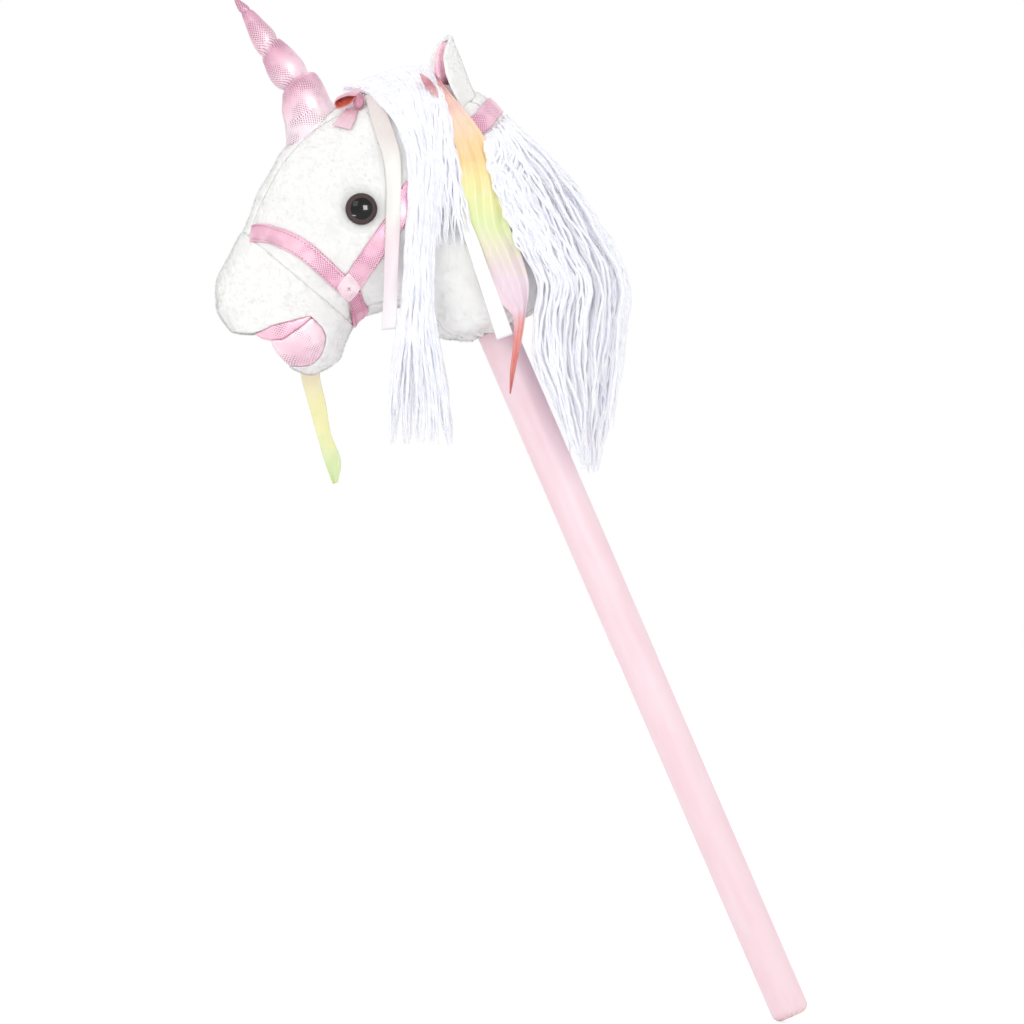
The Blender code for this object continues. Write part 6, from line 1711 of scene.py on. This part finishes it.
points, quads, uv = wall(rings, rings - out * SATIN_THICKNESS, wrap=True, at=at)
shell = 15 * len(turns)
paint = np.concatenate([np.zeros(shell), np.ones(shell), np.zeros(len(quads) - 2 * shell)])
bow = closed_mesh("bow_loop_satin", points, [quads], [uv], groups=[paint])
finish_piece(bow, [BOW_SATIN, BOW_INSIDE_SHADED_SATIN], ("bow_loop",))

# %% Knot
# The knot is a deep pink: painted shade between the loop and the yarn roll.
ball = np.linspace(0.02, math.pi - 0.02, 20)
knot = np.stack([4.0 * MM * np.sin(ball) ** 0.8, 6.6 * MM * np.cos(ball)], axis=1)
knot_place = bow_place + unlean @ (10.2 * MM, 2.6 * MM, -0.2 * MM)
knot_rings = turned_surface(knot, 40, knot_place, unlean @ (0.1, 0.35, 1.0))
middle = knot_rings.mean(axis=1, keepdims=True)
knot_rings = middle + (knot_rings - middle) * (1 + 0.12 * np.cos(
    5 * np.linspace(0, 2 * math.pi, 40, endpoint=False)))[None, :, None]
points, quads, fans = closed_rings(knot_rings)
finish_piece(closed_mesh("bow_knot", points, [quads, fans], ring_uv(knot_rings)), KNOT_SHADED_SATIN)

# %% [markdown]
# ## The pole
#
# A dowel 30 mm thick, painted, its foot rounded over. It is turned from a profile, like the
# eyes, so that the paint's UV map runs up the wood. The disc on its top and the other pieces
# inside the head stay as the CAD has them, with materials that show what they are.

# %% Pole
POLE_RADIUS, FOOT_ROUND, POLE_FOOT, POLE_TOP = 15 * MM, 7 * MM, -0.490, 0.2450
bend = np.linspace(0, math.pi / 2, 9)
foot = np.stack([POLE_RADIUS - FOOT_ROUND * (1 - np.sin(bend)),
                 POLE_FOOT + FOOT_ROUND * (1 - np.cos(bend))], axis=1)
shaft = np.stack([np.full(40, POLE_RADIUS), np.linspace(-0.480, 0.2438, 40)], axis=1)
profile = np.concatenate([[(2 * MM, POLE_FOOT)], foot, shaft, [(14.2 * MM, POLE_TOP)]])
sides = 128
rings = turned_surface(profile, sides, np.zeros(3), (0, 0, 1))
points, quads, fans = closed_rings(rings)
_, corner = grid_faces(len(profile), sides, True)
spot = np.stack([corner[..., 1] / sides * 2 * math.pi * POLE_RADIUS,
                 profile[corner[..., 0], 1] - POLE_FOOT], axis=-1)
ends = np.array([[(0, 0)] * 3] * sides + [[(0, POLE_TOP - POLE_FOOT)] * 3] * sides, float)
pole = closed_mesh("painted_pole", points, [quads, fans], [spot, ends])
finish_piece(pole, LACQUER, ("pole",))

# %% Materials of the pieces inside
for node, material, slot in (
        ("stop_disc", PLYWOOD, "disc_wood"), ("stop_screw", ZINC, "screw_steel"),
        ("pole_liner", CALICO, "liner_cloth"), ("neck_tie", CORD, "tie_cord"),
        ("filling_head", HOLLOW_FIBRE, "filling"), ("filling_neck", HOLLOW_FIBRE, "filling"),
        ("eye_washer_left", NYLON, "washer"), ("eye_washer_right", NYLON, "washer"),
        ("mane_tape", TWILL, "tape")):
    obj = bpy.data.objects[node]
    for entry in obj.material_slots:
        entry.material = material

# %% [markdown]
# ## Light, floor and camera
#
# The photograph has a plain white ground and soft even light from the upper left, towards the
# camera. One large lamp gives the shape, a second one fills, and the sky does the rest.

# %% Floor
def seen_directly(add):
    """1 for rays that come from the camera, straight, mirrored or through glass, 0 for others."""
    straight, mirrored, passed = (add("LightPath", out=f"Is {kind} Ray")
                                  for kind in ("Camera", "Glossy", "Transmission"))
    either = add("Math", {0: straight, 1: mirrored}, operation="ADD")
    any_way = add("Math", {0: either, 1: passed}, operation="ADD")
    return add("Math", {0: any_way, 1: 1.0}, operation="MINIMUM")


FLOOR, FLOOR_HALF = -0.4540, 30
floor_mesh = bpy.data.meshes.new("floor")
floor_mesh.from_pydata([(FLOOR_HALF * a, FLOOR_HALF * b, FLOOR)
                        for a, b in ((-1, -1), (1, -1), (1, 1), (-1, 1))], [], [(0, 1, 2, 3)])
floor = bpy.data.objects.new("floor", floor_mesh)
bpy.context.scene.collection.objects.link(floor)
floor_material, shader, add = new_material(
    "floor_paper", {"Roughness": 0.9, "Base Color": linear("#F4F4F4"),
                    "Specular IOR Level": 0.1, "Emission Color": (1, 1, 1, 1)})
feed(shader, {"Emission Strength": add("Math", {0: seen_directly(add), 1: 0.30},
                                       operation="MULTIPLY")})
floor.data.materials.append(floor_material)

# %% World and lamps
world = bpy.data.worlds.new("studio")
bpy.context.scene.world = world
world.use_nodes = True
add = functools.partial(add_node, world.node_tree)
strength = add("Math", {0: seen_directly(add), 1: 0.06, 2: 0.94}, operation="MULTIPLY_ADD")
feed(world.node_tree.nodes["Background"], {"Color": (1, 1, 1, 1), "Strength": strength})


# %% Two lamps
def add_lamp(name, place, aim, size, power, diffuse=True):
    """A square area lamp: its -Z axis points at the aim."""
    data = bpy.data.lights.new(name, "AREA")
    data.size, data.energy = size, power
    lamp = bpy.data.objects.new(name, data)
    lamp.location = place
    way = np.array(aim, float) - np.array(place, float)
    flat = math.hypot(way[0], way[1])
    lamp.rotation_euler = (math.pi / 2 + math.atan2(way[2], flat), 0,
                           math.atan2(way[1], way[0]) - math.pi / 2)
    lamp.visible_camera = False
    lamp.visible_diffuse = diffuse
    bpy.context.scene.collection.objects.link(lamp)
    return lamp


ORIGIN = (0.0, 0.0, 0.0)
add_lamp("key", (-1.0, -1.7, 1.1), ORIGIN, size=0.9, power=6)
add_lamp("fill", (1.4, -1.8, 0.5), ORIGIN, size=1.0, power=1.5)

# %% [markdown]
# Two small lamps give the eye its catch-lights and are left out of the diffuse light. A lamp is
# put where the view ray goes after it meets the dome: r = 2 (n . v) n - v.

# %% Catch-lights
CATCH_DISTANCE = 1.2
bulge = (EYE_RADIUS**2 + EYE_TOP**2) / (2 * EYE_TOP)
centre = leaned(EYE_SEAT + skin_normal(*EYE_SPOT)[0] * (EYE_TOP - bulge))
for lamp_name, spot in (("catch_upper", (-0.0562, 0.2203)), ("catch_lower", (-0.0638, 0.2178))):
    reach = leaned(np.array([spot[0], 0.0, spot[1]])) - centre
    depth = -math.sqrt(max(bulge**2 - reach[0] ** 2 - reach[2] ** 2, 0.0))
    normal = unit(np.array([reach[0], depth, reach[2]]))
    bounce = -2 * normal[1] * normal - (0.0, -1.0, 0.0)
    add_lamp(lamp_name, centre + bounce * CATCH_DISTANCE, centre, size=0.40, power=12,
             diffuse=False)

# %% Camera
DISTANCE, FRAME_WIDTH = 12.0, 0.7987
camera = bpy.data.objects.new("camera", bpy.data.cameras.new("camera"))
camera.location = (-0.0242, -DISTANCE, -0.0562)
camera.rotation_euler = (math.pi / 2, 0, 0)
camera.data.lens = camera.data.sensor_width * DISTANCE / FRAME_WIDTH
bpy.context.scene.collection.objects.link(camera)
bpy.context.scene.camera = camera
bpy.context.scene.view_settings.view_transform = "Standard"
